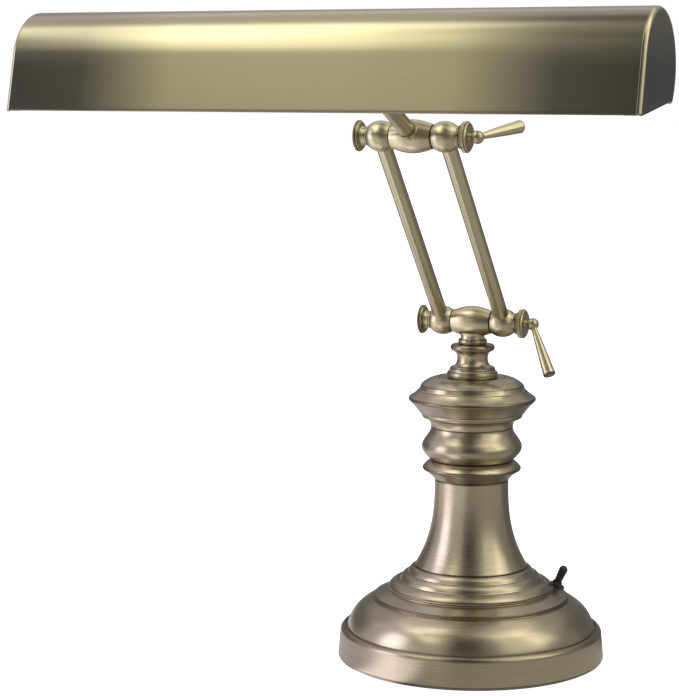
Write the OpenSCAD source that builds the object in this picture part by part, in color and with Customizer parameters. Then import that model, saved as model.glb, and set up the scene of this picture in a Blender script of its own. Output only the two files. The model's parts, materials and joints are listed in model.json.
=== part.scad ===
// Piano lamp: a trough shade on a pair of arm tubes with two clamp knuckles, on a turned column.
// Millimetres, +Z up. The origin is the centre of the foot's underside, and -Y faces the player.
// Outlines of turned pieces are lists of [radius, height], read from the bottom to the top.

/* [Base] */
// Radius of the rim at its foot
base_r = 84.6; // [80:0.1:92]
// Height of the rim's top above the table
rim_h = 20; // [16:0.5:24]
// How much the rim leans in over its height
rim_draft = 1.3; // [0.5:0.1:3]
// Wall of the spun base
base_wall = 1.2; // [0.8:0.1:1.8]
// Width of the rim's top, from its outer edge in to the dome
dome_inset = 5.8; // [5.5:0.1:9]
// How far the dome swells out of a straight cone
dome_bulge = 3.1; // [1:0.1:4]
// Radius of the flat tier above the dome
tier_r = 62.1; // [58:0.1:66]
// Height of the tier's edge
tier_z = 40.4; // [38:0.1:42]
// Radius of the lowest step ring
ring_r = 52.5; // [49:0.1:54]
// Height of the lowest step ring's edge
ring_z = 46.3; // [45:0.1:48]
// Thickness of the felt pad
pad_t = 1.2; // [0.8:0.1:2]
// How far the felt stands below the rim
pad_proud = 0.8; // [0.3:0.1:0.8]
// Thickness of the plate above the felt
plate_t = 1; // [0.8:0.1:1.5]

/* [Column] */
// Radius of the flared column at its foot
flare_foot_r = 36; // [32:0.1:38]
// Height of the flared column's foot
flare_foot_z = 59.4; // [58:0.1:62]
// Radius of the flared column at its top
flare_top_r = 23.4; // [20:0.1:25]
// Height of the flared column's top
flare_top_z = 115.4; // [110:0.1:118]
// How sharply the column flares, as a power
flare_power = 2.75; // [2:0.05:3.5]
// Radius of the disc ring over the flared column
disc_r = 31.2; // [28:0.1:34]
// Height of the disc ring
disc_h = 12; // [10:0.1:13]
// Radius of the column's bulb at its belly
bulb_r = 31.7; // [29:0.1:34]
// Radius of the waists below and above the bulb
waist_r = 25.9; // [24.5:0.1:27]
// Height of the bulb
bulb_h = 21.2; // [18:0.1:24]
// Radius of the mushroom cap at its edge
cap_r = 40.3; // [37:0.1:44]
// Height of the mushroom cap
cap_h = 31.9; // [29:0.1:34]
// Radius of the cap's raised shoulder
shoulder_r = 32.4; // [30:0.1:34]
// Radius of the spool neck's foot
spool_foot_r = 15.9; // [15:0.1:18]
// Radius of the spool neck's waist
spool_waist_r = 9.7; // [8.5:0.1:11]
// Radius of the spool neck's top flange
spool_top_r = 14; // [13:0.1:15.5]
// Height of the spool neck
spool_h = 20.6; // [19:0.1:24]
// Wall of the hollow column pieces
column_wall = 2.4; // [1.5:0.1:3]
// Outer radius of the threaded lamp pipe
pipe_r = 4.9; // [4.7:0.05:5.2]
// Bore radius of the lamp pipe
pipe_bore_r = 3.2; // [2.8:0.05:3.4]

/* [Knuckles and arms] */
// Height of the lower knuckle above the spool neck
lower_rise = 14.3; // [13.6:0.1:17]
// Arm length between the two knuckle axes
arm_len = 158.7; // [120:0.1:220]
// Lean of the arm from upright, towards the player
arm_lean = 41.6; // [20:0.1:60]
// Outer radius of the arm tubes
arm_r = 4.75; // [4.3:0.05:5]
// Bore radius of the arm tubes
arm_bore_r = 3.3; // [3:0.05:3.5]
// Distance of each arm tube from the middle
arm_x = 20.3; // [19.6:0.1:21.5]
// Greatest radius of a knuckle's barrel
barrel_r = 9.9; // [9.2:0.05:10.4]
// Radius of a barrel's end faces
barrel_end_r = 7.1; // [6.5:0.05:7.6]
// Half the length of a barrel
barrel_half = 12.8; // [12.2:0.1:13.2]
// Greatest radius of an eye
eye_r = 9.1; // [8.6:0.05:9.6]
// Outer end of an eye, measured from the middle
eye_end_x = 28.4; // [27.8:0.1:29.5]
// Radius of an eye's outer end
eye_end_r = 5.7; // [5.4:0.05:6.4]
// Radius of the flanged cap nut and of the knurled collar
flange_r = 9.2; // [8.8:0.05:10]
// Radius of the clamp screw
screw_r = 3; // [2.6:0.05:3.2]
// Radial clearance of the clamp screw in its bores
run_gap = 0.05; // [0.03:0.01:0.08]
// End clearance between turning faces
face_gap = 0.2; // [0.15:0.05:0.4]
// Number of teeth on the knurled collar
knurl_teeth = 44; // [30:1:60]
// Radius of the clamp screw's ball
ball_r = 3.9; // [3.6:0.05:4.2]
// Length of a lever from the ball's centre to its tip
lever_len = 35.8; // [30:0.1:44]
// Radius of a lever where it leaves the ball
lever_root_r = 1.9; // [1.5:0.05:2.1]
// Radius of a lever at its tip
lever_tip_r = 3.9; // [3:0.05:4.5]
// Lean of a lever from the knuckle's axis
lever_lean = 64.5; // [60:0.5:80]
// Turn of the lower lever from straight down, towards the player
lower_lever_turn = 22; // [0:1:60]
// Turn of the upper lever from straight back, upwards
upper_lever_turn = 10; // [0:1:60]

/* [Shade] */
// Length of the shade
shade_len = 355.6; // [300:0.1:400]
// Outer radius of the shade's round back and top
shade_r = 30.3; // [29:0.1:33]
// Sheet thickness of the shade
shade_wall = 0.9; // [0.7:0.05:1.2]
// How far the skirt's foot lies in front of the round part's centre
skirt_front = 37; // [35:0.1:40]
// How far the skirt's foot lies below the round part's centre
skirt_drop = 22.8; // [20:0.1:26]
// How far the back edge lies below the round part's centre
back_drop = 18.4; // [16:0.1:21]
// Radius of the rolled hem
hem_r = 1.1; // [0.95:0.05:1.4]
// Rounding of the end caps' edges
cap_round = 2.5; // [2:0.1:3.5]
// Distance of the shade's centre from the upper knuckle
shade_reach = 124.6; // [122:0.1:130]
// Rise of the shade's centre from the upper knuckle, in degrees
shade_rise = 18.4; // [16:0.1:21]
// Outer radius of the shade's tube
tube_r = 4.8; // [4.5:0.05:5.2]
// Bore radius of the shade's tube
tube_bore_r = 3.4; // [3.2:0.05:3.6]
// Rise of the shade's tube, in degrees
tube_rise = 24.5; // [22:0.1:26.5]
// Radius of the tubular bulbs
lamp_r = 15.9; // [14:0.1:16.5]
// Length of a bulb's glass
lamp_len = 112; // [100:1:118]
// Wall of a bulb's glass
glass_t = 0.9; // [0.6:0.1:1.2]
// Outer radius of a lamp socket
socket_r = 14.6; // [14.2:0.1:15.2]
// Length of a lamp socket
socket_len = 34; // [30:0.5:36]

/* [Switch and cord outlet] */
// Distance of the switch from the column's axis
switch_reach = 57.5; // [56.8:0.1:58]
// Direction of the switch from +X towards +Y
switch_angle = 37; // [20:1:70]
// Radius of the switch's threaded bush
bush_r = 3.15; // [2.9:0.05:3.4]
// Width of the switch's dress nut across its flats
nut_flats = 9.5; // [8.5:0.1:10]
// Length of the toggle outside its bush
toggle_len = 12; // [10:0.1:14]
// Radius of the toggle at its root
toggle_root_r = 2; // [1.6:0.05:2.2]
// Radius of the toggle at its tip
toggle_tip_r = 2.8; // [2.4:0.05:3.1]
// Tilt of the toggle from its bush, each way
toggle_tilt = 13; // [10:0.5:15]
// Bore radius of the cord outlet's bush
outlet_bore_r = 3.25; // [2.8:0.05:3.6]
// Height of the cord outlet above the table
outlet_z = 10.5; // [9:0.1:12]

/* [Hidden] */
$fn = 72;
brass = "#a5966c";
dark_brass = "#7d7050";
steel = "#b9bcc0";
iron = "#4a4a4c";
black = "#202022";
eps = 0.01;
seat_gap = 0.05;     // clearance of pieces that nest without moving

// Places that follow from the sizes above
dome_r = base_r - dome_inset;
weight_z0 = pad_t + plate_t;
weight_z1 = rim_h - base_wall;
bulb_z = flare_top_z + disc_h;
cap_z = bulb_z + bulb_h;
spool_z = cap_z + cap_h;
spool_top = spool_z + spool_h;
lower_z = spool_top + lower_rise;
upper_y = -arm_len * sin(arm_lean);
upper_z = lower_z + arm_len * cos(arm_lean);
shade_y = upper_y - shade_reach * cos(shade_rise);
shade_z = upper_z + shade_reach * sin(shade_rise);

// Turned outlines -------------------------------------------------------------------------------

// Straight line from a to b, bowed outwards by h at its middle (a parabola)
function bow(a, b, h, n = 8) = [for (i = [0 : n]) let (t = i / n, d = b - a)
  a + d * t + [d[1], -d[0]] * (4 * h * t * (1 - t) / norm(d))];

// Double curve that leaves a and reaches b upright (half a cosine wave)
function ogee(a, b, n = 10) = [for (i = [0 : n]) let (t = i / n)
  [a[0] + (b[0] - a[0]) * (1 - cos(180 * t)) / 2, a[1] + (b[1] - a[1]) * t]];

// Swelling curve that reaches b upright (a quarter sine wave)
function swell(a, b, n = 8) = [for (i = [0 : n]) let (t = i / n)
  [a[0] + (b[0] - a[0]) * sin(90 * t), a[1] + (b[1] - a[1]) * t]];

// Quarter ellipse that leaves a upright and reaches b level
function hollow(a, b, n = 8) = [for (i = [0 : n]) let (t = 90 * i / n)
  [a[0] + (b[0] - a[0]) * (1 - cos(t)), a[1] + (b[1] - a[1]) * sin(t)]];

// Quarter ellipse that leaves a level and reaches b upright
function roll(a, b, n = 8) = [for (i = [0 : n]) let (t = 90 * i / n)
  [a[0] + (b[0] - a[0]) * sin(t), a[1] + (b[1] - a[1]) * (1 - cos(t))]];

// A turned piece with a bore from end to end
module turned(outline, bore_r) {
  bottom = outline[0][1];
  top = outline[len(outline) - 1][1];
  rotate_extrude() polygon(concat([[bore_r, bottom]], outline, [[bore_r, top]]));
}

// The same along +X, for the pieces of a knuckle
module turned_x(outline, bore_r) rotate([0, 90, 0]) turned(outline, bore_r);

// Base --------------------------------------------------------------------------------------------

ring_foot_z = ring_z - 2.2;
lobe_2 = [ring_r - 6.8, ring_z + 4.2];
lobe_1 = [(lobe_2[0] + flare_foot_r) / 2 - 0.2, (lobe_2[1] + flare_foot_z) / 2 + 0.2];
base_outline = concat(
  [[base_r - 0.6, pad_proud], [base_r, pad_proud + 1]],
  hollow([base_r - rim_draft, rim_h - 3], [base_r - rim_draft - 3.2, rim_h + 0.2]),
  [[dome_r + 0.3, rim_h + 0.1]],
  bow([dome_r, rim_h + 0.4], [tier_r + 0.2, tier_z - 1.9], dome_bulge, 14),
  [[tier_r, tier_z - 0.7], [tier_r - 0.5, tier_z]],
  [[ring_r - 0.6, ring_foot_z], [ring_r - 0.1, ring_foot_z + 0.5]],
  bow([ring_r, ring_z], lobe_2 + [0.3, 0], 0.8, 6),
  bow(lobe_2, lobe_1 + [0.3, 0], 0.8, 6),
  bow(lobe_1, [flare_foot_r + 0.4, flare_foot_z - 0.1], 0.7, 6),
  [[flare_foot_r - 0.4, flare_foot_z]]
);

// Inner side of the wall, read from the pipe's hole down to the rim
base_inside = concat(
  [[pipe_r + seat_gap, flare_foot_z], [pipe_r + seat_gap, flare_foot_z - base_wall]],
  [for (i = [len(base_outline) - 1 : -1 : 0])
    [base_outline[i][0] - base_wall, max(base_outline[i][1] - base_wall, pad_proud)]]
);

module base_shell() color(brass) difference() {
  rotate_extrude() polygon(concat(base_outline, base_inside));
  switch_place() cylinder(r = bush_r + seat_gap, h = 10 * base_wall, center = true);
  outlet_place() cylinder(r = outlet_bush_r, h = 10 * base_wall, center = true);
}

module felt_pad() color("#2c3a30") cylinder(r = base_r - 2.4, h = pad_t);

module bottom_plate() color(iron) translate([0, 0, pad_t]) cylinder(r = base_r - 2.4, h = plate_t);

nut_pocket_r = 14;
washer_t = 1.2;
pipe_nut_h = 4;
pocket_top = weight_z0 + 1 + pipe_nut_h + washer_t;
cord_slot_w = 15;

module base_weight() color(iron) difference() {
  turned([[base_r - 3.6, weight_z0], [base_r - rim_draft - 3, weight_z1 - 3], [dome_r + 1, weight_z1]], pipe_r + 0.3);
  translate([0, 0, weight_z0 - eps]) cylinder(r = nut_pocket_r, h = pocket_top - weight_z0 + eps);
  // channel for the cord, from the outlet to the pipe
  translate([-cord_slot_w / 2, 0, weight_z0 - eps]) cube([cord_slot_w, base_r, weight_z1 - 3 - weight_z0]);
  // hole for the leads, up to the switch
  translate([0, 2 * nut_pocket_r, 0]) cylinder(r = 5, h = 2 * weight_z1);
}

// Column ------------------------------------------------------------------------------------------

flare_n = 18;
flare_outline = [for (i = [0 : flare_n]) let (t = i / flare_n)
  [flare_top_r + (flare_foot_r - flare_top_r) * pow(1 - t, flare_power),
   flare_foot_z + (flare_top_z - flare_foot_z) * t]];

module flare_column() color(brass) difference() {
  turned(flare_outline, pipe_r + seat_gap);
  cavity = [for (p = flare_outline) if (p[1] < flare_top_z - column_wall) [p[0] - column_wall, p[1]]];
  last = cavity[len(cavity) - 1];
  rotate_extrude() polygon(concat([[0, flare_foot_z - eps], cavity[0] - [0, eps]], cavity, [[0, last[1]]]));
}

disc_outline = concat(
  bow([flare_top_r + 0.2, flare_top_z], [disc_r - 0.5, flare_top_z + disc_h * 0.49], -0.5),
  bow([disc_r - 0.5, flare_top_z + disc_h * 0.49], [disc_r - 0.5, flare_top_z + disc_h * 0.68], 0.5, 6),
  bow([disc_r - 0.5, flare_top_z + disc_h * 0.68], [waist_r, bulb_z], 0.4)
);

module column_disc() color(brass) turned(disc_outline, pipe_r + seat_gap);

belly_z = bulb_z + 0.41 * bulb_h;
bulb_outline = concat(
  swell([waist_r, bulb_z], [bulb_r, belly_z]),
  ogee([bulb_r, belly_z], [waist_r, cap_z])
);

module column_bulb() color(brass) difference() {
  turned(bulb_outline, pipe_r + seat_gap);
  translate([0, 0, bulb_z + column_wall]) cylinder(r = waist_r - column_wall, h = bulb_h - 2 * column_wall);
}

bell_z = cap_z + 9.3;
edge_z = cap_z + 17.2;
shoulder_z = spool_z - 5;
cap_seat_z = spool_z - 0.6;
cap_outline = concat(
  hollow([waist_r, cap_z], [shoulder_r - 1.1, bell_z - 3.1]),
  bow([shoulder_r - 1, bell_z - 3], [shoulder_r - 0.4, bell_z - 0.3], 0.3, 5),
  bow([shoulder_r + 0.8, bell_z], [cap_r - 0.4, edge_z - 0.3], -0.3, 6),
  bow([cap_r - 0.4, edge_z - 0.2], [cap_r - 0.5, edge_z + 1.8], 0.4, 6),
  bow([cap_r - 0.8, edge_z + 2], [shoulder_r + 1.6, shoulder_z - 3.4], -0.3, 6),
  [[shoulder_r + 1.2, shoulder_z - 2.8]],
  bow([shoulder_r, shoulder_z], [spool_foot_r + 5.1, spool_z], 1.1),
  [[spool_foot_r + 4.8, spool_z], [spool_foot_r + 4.5, cap_seat_z]]
);

module column_cap() color(brass) difference() {
  turned(cap_outline, pipe_r + seat_gap);
  translate([0, 0, cap_z + column_wall]) cylinder(r = waist_r - column_wall, h = shoulder_z - cap_z - column_wall);
}

spool_outline = concat(
  [[spool_foot_r - 0.6, cap_seat_z]],
  bow([spool_foot_r - 0.3, cap_seat_z + 0.3], [spool_foot_r - 0.5, spool_z + 3.6], 0.5, 6),
  bow([spool_foot_r - 1.9, spool_z + 4], [spool_foot_r - 2.2, spool_z + 6.2], 0.3, 5),
  roll([spool_foot_r - 2.8, spool_z + 6.4], [spool_waist_r, spool_z + 11.4]),
  hollow([spool_waist_r, spool_top - 8.8], [spool_top_r - 1.6, spool_top - 4.3]),
  bow([spool_top_r - 1.2, spool_top - 4.1], [spool_top_r - 1, spool_top - 0.1], 1.1, 8),
  [[spool_top_r - 1.4, spool_top]]
);

module spool_neck() color(brass) turned(spool_outline, pipe_r + seat_gap);

// Pipe through the column; its grooved top end is the post that the head swivels on
groove_z = spool_top + 1;
groove_h = 3;
groove_depth = 0.7;
post_top = lower_z - screw_r - 1.2;

module lamp_pipe() color(steel) difference() {
  translate([0, 0, weight_z0 + 0.4]) cylinder(r = pipe_r, h = post_top - weight_z0 - 0.4);
  translate([0, 0, weight_z0]) cylinder(r = pipe_bore_r, h = post_top);
  translate([0, 0, groove_z]) difference() {
    cylinder(r = pipe_r + 1, h = groove_h);
    translate([0, 0, -1]) cylinder(r = pipe_r - groove_depth, h = groove_h + 2);
  }
}

module pipe_washer() color(steel) translate([0, 0, pocket_top - washer_t]) difference() {
  cylinder(r = nut_pocket_r - 2, h = washer_t);
  translate([0, 0, -1]) cylinder(r = pipe_r + seat_gap, h = washer_t + 2);
}

module pipe_nut() color(steel) translate([0, 0, pocket_top - washer_t - pipe_nut_h]) difference() {
  cylinder(r = 8.6, h = pipe_nut_h, $fn = 6);
  translate([0, 0, -1]) cylinder(r = pipe_r + seat_gap, h = pipe_nut_h + 2);
}

cable_slack = 0.5;    // radial room of a cable in its tube

module column_cable() color(black) translate([0, 0, weight_z0 + 0.4])
  cylinder(r = pipe_bore_r - cable_slack, h = post_top - weight_z0 - 0.4);

// Cord outlet -------------------------------------------------------------------------------------

outlet_bush_r = outlet_bore_r + 2;

module outlet_place() translate([0, base_r - rim_draft / 2, outlet_z]) rotate([-90, 0, 0]) children();

module cord_bushing() color(black) outlet_place() difference() {
  union() {
    translate([0, 0, -5]) cylinder(r = outlet_bush_r - seat_gap, h = 5);
    translate([0, 0, 0.8]) cylinder(r1 = outlet_bush_r + 1.2, r2 = outlet_bush_r + 0.4, h = 1.2);
    translate([0, 0, -eps]) cylinder(r = outlet_bush_r - seat_gap, h = 0.9);
  }
  cylinder(r = outlet_bore_r, h = 30, center = true);
}

// Switch ------------------------------------------------------------------------------------------

// Slope of the tier's top, which the switch stands square to
tier_slope = atan((ring_foot_z - tier_z) / (tier_r - 0.5 - ring_r + 0.6));
tier_at_switch = tier_z + (tier_r - 0.5 - switch_reach) * tan(tier_slope);
nut_h = 2;
bush_h = nut_h + 1.4;
switch_size = [6, 13, 10];
switch_drop = 2 * base_wall;     // how far the body's top lies below the tier

// The switch's own frame: +Z out of the bush, +Y along the toggle's swing, origin on the tier
module switch_place() rotate([0, 0, switch_angle]) translate([switch_reach, 0, tier_at_switch])
  rotate([0, tier_slope, 0]) children();

module switch_body() color(black) switch_place() difference() {
  union() {
    translate([0, 0, -switch_drop - switch_size[2] / 2]) cube(switch_size, center = true);
    translate([0, 0, -switch_drop - 1]) cylinder(r = bush_r, h = switch_drop + 1 + bush_h);
    // solder tags
    for (y = [-4.7, 0, 4.7]) translate([-0.4, y - 1, -switch_drop - switch_size[2] - 4]) cube([0.8, 2, 5]);
  }
  // socket that the toggle's root turns in
  translate([0, 0, bush_h - 2.2]) cylinder(r = toggle_root_r + 0.75, h = 3);
}

module switch_nut() color(black) switch_place() difference() {
  rotate(30) cylinder(r = nut_flats / 2 / cos(30), h = nut_h, $fn = 6);
  translate([0, 0, -1]) cylinder(r = bush_r + seat_gap, h = nut_h + 2);
}

toggle_pivot = bush_h - 0.6;
module switch_toggle() color(black) switch_place() translate([0, 0, toggle_pivot]) rotate([toggle_tilt, 0, 0]) {
  tip = toggle_pivot + toggle_len - bush_h - toggle_tip_r;
  rotate_extrude() polygon(concat(
    [[0, -0.9], [toggle_root_r * 0.8, -0.9]],
    [[toggle_root_r, 0], [toggle_root_r, 2.2], [toggle_tip_r, tip]],
    [for (a = [15 : 15 : 90]) [toggle_tip_r * cos(a), tip + toggle_tip_r * sin(a)]]
  ));
}

// Knuckles ----------------------------------------------------------------------------------------
// Each is drawn round the X axis and then set at its height.

module lower_place() translate([0, 0, lower_z]) children();
module upper_place() translate([0, upper_y, upper_z]) children();
// Directions from a knuckle's axis, as turns of +Z about X
module along_arm() rotate([arm_lean, 0, 0]) children();
module along_arm_down() rotate([arm_lean + 180, 0, 0]) children();
module along_tube() rotate([90 - tube_rise, 0, 0]) children();

bore_r = screw_r + run_gap;
socket_depth = bore_r + 1.4;     // where a tube's seat lies, from the knuckle's axis

function barrel_outline() = let (n = 14, swell_r = barrel_r - barrel_end_r) [for (i = [0 : n])
  let (x = barrel_half * (2 * i / n - 1)) [barrel_end_r + swell_r * cos(90 * x / barrel_half), x]];

eye_x0 = barrel_half + face_gap;
eye_round = 1.2 * eye_r;       // radius of an eye's swelling, seen from the side
eye_mid = (eye_x0 + eye_end_x) / 2 - 0.1 * eye_r;
eye_turn_0 = -asin((eye_mid - eye_x0) / eye_round);
eye_turn_1 = acos(1 - (eye_r - eye_end_r) / eye_round);
function eye_outline() = concat(
  [for (i = [0 : 14]) let (a = eye_turn_0 + (eye_turn_1 - eye_turn_0) * i / 14)
    [eye_r - eye_round * (1 - cos(a)), eye_mid + eye_round * sin(a)]],
  [[eye_end_r, eye_end_x]]
);

module eye(side, tube_dir) color(brass) difference() {
  mirror([side < 0 ? 1 : 0, 0, 0]) turned_x(eye_outline(), bore_r);
  rotate([tube_dir, 0, 0]) translate([side * arm_x, 0, socket_depth]) cylinder(r = arm_r + seat_gap, h = 2 * eye_r);
}

module lower_eye_left() lower_place() eye(-1, arm_lean);
module lower_eye_right() lower_place() eye(1, arm_lean);
module upper_eye_left() upper_place() eye(-1, arm_lean + 180);
module upper_eye_right() upper_place() eye(1, arm_lean + 180);

stub_r = 7.7;
stub_ring_r = 9.1;
stub_ring_h = 3.2;
stub_z0 = spool_top + 0.15 - lower_z;      // underside of the stub, from the knuckle's axis

module lower_barrel() color(brass) lower_place() difference() {
  union() {
    turned_x(barrel_outline(), bore_r);
    translate([0, 0, stub_z0]) rotate_extrude() polygon(concat(
      [[0, 0], [stub_ring_r - 0.4, 0]],
      bow([stub_ring_r - 0.4, 0.2], [stub_ring_r - 0.4, stub_ring_h], 0.4, 6),
      [[stub_r, stub_ring_h + 0.4], [stub_r - 0.2, -stub_z0 - 8], [stub_r + 0.6, -stub_z0 - 6.4], [0, -stub_z0 - 6.4]]
    ));
  }
  rotate([0, 90, 0]) cylinder(r = bore_r, h = 4 * barrel_half, center = true);
  translate([0, 0, stub_z0 - 1]) cylinder(r = pipe_r + run_gap, h = post_top - lower_z - stub_z0 + 1.3);
  swivel_screw_place() cylinder(r = swivel_screw_r + seat_gap, h = 20);
}

// Grub screw whose tip runs in the pipe's groove and keeps the head on
swivel_screw_r = 1.3;
module swivel_screw_place() translate([0, 0, groove_z + groove_h / 2 - lower_z]) rotate([-90, 0, 0]) children();

module swivel_screw() color(steel) lower_place() swivel_screw_place() difference() {
  tip = pipe_r - groove_depth + 0.3;
  translate([0, 0, tip]) cylinder(r = swivel_screw_r, h = stub_ring_r - 0.6 - tip);
  translate([0, 0, stub_ring_r - 1.8]) cylinder(r = 0.7, h = 3, $fn = 6);
}

module upper_barrel() color(brass) upper_place() difference() {
  union() {
    turned_x(barrel_outline(), bore_r);
    along_tube() translate([0, 0, 4]) cylinder(r1 = tube_r + 2.2, r2 = tube_r + 1, h = barrel_r - 3);
  }
  rotate([0, 90, 0]) cylinder(r = bore_r, h = 4 * barrel_half, center = true);
  along_tube() translate([0, 0, socket_depth]) cylinder(r = tube_r + seat_gap, h = 20);
}

module arm_tube(side) color(brass) lower_place() along_arm() translate([side * arm_x, 0, socket_depth]) difference() {
  cylinder(r = arm_r, h = arm_len - 2 * socket_depth);
  translate([0, 0, -1]) cylinder(r = arm_bore_r, h = arm_len);
}

module arm_tube_left() arm_tube(-1);
module arm_tube_right() arm_tube(1);

module arm_cable() color(black) lower_place() along_arm() translate([-arm_x, 0, socket_depth])
  cylinder(r = arm_bore_r - cable_slack, h = arm_len - 2 * socket_depth);

// Flanged cap nut on the left end of the clamp screw
nut_face_x = eye_end_x + 4.2;
function cap_nut_outline() = concat(
  [[eye_end_r - 0.2, eye_end_x], [eye_end_r - 0.5, eye_end_x + 1.8]],
  roll([eye_end_r, eye_end_x + 2.8], [flange_r - 1, nut_face_x - 0.2], 6),
  bow([flange_r - 0.4, nut_face_x], [flange_r - 0.4, nut_face_x + 1.8], 0.4, 6),
  [[flange_r - 2.4, nut_face_x + 2.1], [flange_r - 3, nut_face_x + 1.6], [3, nut_face_x + 1.6]]
);

module cap_nut() color(brass) mirror([1, 0, 0]) difference() {
  rotate([0, 90, 0]) rotate_extrude() polygon(concat(
    [[0, eye_end_x]], cap_nut_outline(), [[0, nut_face_x + 1.6]]));
  rotate([0, 90, 0]) cylinder(r = bore_r, h = nut_face_x + 0.4);
}

module lower_cap_nut() lower_place() cap_nut();
module upper_cap_nut() upper_place() cap_nut();

// Plain ring between the right eye and the knurled collar
ring_end_x = eye_end_x + 2.3;
module knuckle_ring() color(dark_brass) turned_x(
  bow([eye_end_r + 0.6, eye_end_x], [eye_end_r + 0.6, ring_end_x], 0.6, 6), bore_r);

module lower_ring() lower_place() knuckle_ring();
module upper_ring() upper_place() knuckle_ring();

// Knurled collar that turns with the clamp screw
collar_x = ring_end_x + face_gap;
collar_w = 4.2;
knurl_w = 2.6;
ball_x = collar_x + collar_w + 4.4;
module knurled_collar() color(brass) difference() {
  union() {
    turned_x([[flange_r - 1.4, collar_x], [flange_r - 0.5, collar_x + 0.4], [flange_r - 0.5, collar_x + 3.2],
      [flange_r - 1.6, collar_x + collar_w]], screw_r);
    translate([collar_x + 0.6, 0, 0]) rotate([0, 90, 0]) linear_extrude(knurl_w) polygon([
      for (i = [0 : 2 * knurl_teeth - 1]) let (r = i % 2 == 0 ? flange_r : flange_r - 0.45)
        [r * cos(180 * i / knurl_teeth), r * sin(180 * i / knurl_teeth)]]);
  }
  rotate([0, 90, 0]) cylinder(r = screw_r + eps, h = 2 * ball_x);
}

module lower_knurled_collar() lower_place() knurled_collar();
module upper_knurled_collar() upper_place() knurled_collar();

// Clamp screw through the whole knuckle, with the lever's ball on its end
lever_seat = 2.7;      // flat on the ball that the lever's root stands on
module lever_place(turn) rotate([turn, 0, 0]) translate([ball_x, 0, 0]) rotate([0, 90 - lever_lean, 0]) children();

module clamp_screw(turn) color(brass) difference() {
  union() {
    translate([-nut_face_x, 0, 0]) rotate([0, 90, 0]) cylinder(r = screw_r, h = nut_face_x + collar_x + collar_w);
    rotate([0, 90, 0]) rotate_extrude() polygon(concat(
      [[0, collar_x + collar_w - 1]],
      bow([screw_r, collar_x + collar_w - 1], [2.2, ball_x - 2.6], -0.3, 5), [[0, ball_x - 2.6]]));
    translate([ball_x, 0, 0]) sphere(r = ball_r);
  }
  lever_place(turn) translate([0, 0, lever_seat]) cylinder(r = ball_r, h = ball_r);
}

module lever(turn) color(brass) lever_place(turn) rotate_extrude() polygon(concat(
  [[0, lever_seat], [lever_root_r, lever_seat]],
  bow([lever_root_r, lever_seat + 2], [lever_tip_r - 0.1, lever_len - 1.6], 0.15, 6),
  bow([lever_tip_r, lever_len - 1.4], [lever_tip_r - 0.8, lever_len], 0.3, 5),
  [[0, lever_len + 0.3]]
));

lower_turn = 180 + lower_lever_turn * -1;
upper_turn = -90 + upper_lever_turn;
module lower_clamp_screw() lower_place() clamp_screw(lower_turn);
module lower_lever() lower_place() lever(lower_turn);
module upper_clamp_screw() upper_place() clamp_screw(upper_turn);
module upper_lever() upper_place() lever(upper_turn);

// Shade -------------------------------------------------------------------------------------------
// The section is drawn with x towards the back and y up, round the centre of the round part.

skirt_foot = [-skirt_front, -skirt_drop];
skirt_dist = norm(skirt_foot);
// Angle at which the straight skirt leaves the round part, where both share a tangent
tangent_angle = 180 + atan(skirt_drop / skirt_front) - acos(shade_r / skirt_dist);
back_angle = -asin(back_drop / shade_r);
skirt_len = sqrt(skirt_dist * skirt_dist - shade_r * shade_r);
far = 4 * shade_r;
joint_angle = 0.5;     // how far the round part runs on into the skirt

function on_round(r, a) = [r * cos(a), r * sin(a)];

// The part of the round that is open, below the skirt's start and the back edge
module open_wedge(start, end) polygon([[0, 0], on_round(far, start), on_round(far, 270), on_round(far, end)]);

// Strip between two insets of the shade's section
module section_band(inset, t) {
  outer = shade_r - inset;
  difference() {
    circle(r = outer);
    circle(r = outer - t);
    open_wedge(tangent_angle + joint_angle, back_angle);
  }
  rotate(tangent_angle) translate([outer - t, 0]) square([t, skirt_len]);
}

// Rolled hems along both lower edges
module hems(r) {
  rotate(tangent_angle) translate([shade_r - hem_r, skirt_len - hem_r]) circle(r = r, $fn = 24);
  translate(on_round(shade_r - hem_r, back_angle + asin(hem_r / shade_r))) circle(r = r, $fn = 24);
}

// Puts a section into the lamp, as a slab from x0 to x1
module slab_place(x = 0) translate([x, shade_y, shade_z]) rotate([90, 0, 90]) children();
module slab(x0, x1) slab_place(x0) linear_extrude(x1 - x0) children();

shell_half = shade_len / 2 - cap_round;
flange_len = 6;
cap_lap = 7.5;      // angle by which the pieces of an end cap run into each other

module shade_shell() color(brass) difference() {
  union() {
    slab(-shell_half, shell_half) section_band(0, shade_wall);
    slab(-shell_half, shell_half) hems(hem_r);
  }
  tube_place() cylinder(r = tube_r + 0.2, h = shade_reach);
}

// Outline of an end cap across its edge: x out from the round part's centre, y along the shade
function cap_profile() = let (end = shade_len / 2, inner = shade_r - shade_wall - seat_gap) concat(
  [[0, end]],
  [for (a = [90 : -15 : 0]) [shade_r - cap_round * (1 - cos(a)), shell_half + cap_round * sin(a)]],
  [[inner, shell_half], [inner, shell_half - flange_len], [inner - shade_wall, shell_half - flange_len]],
  [[inner - shade_wall, end - shade_wall], [0, end - shade_wall]]
);

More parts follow.
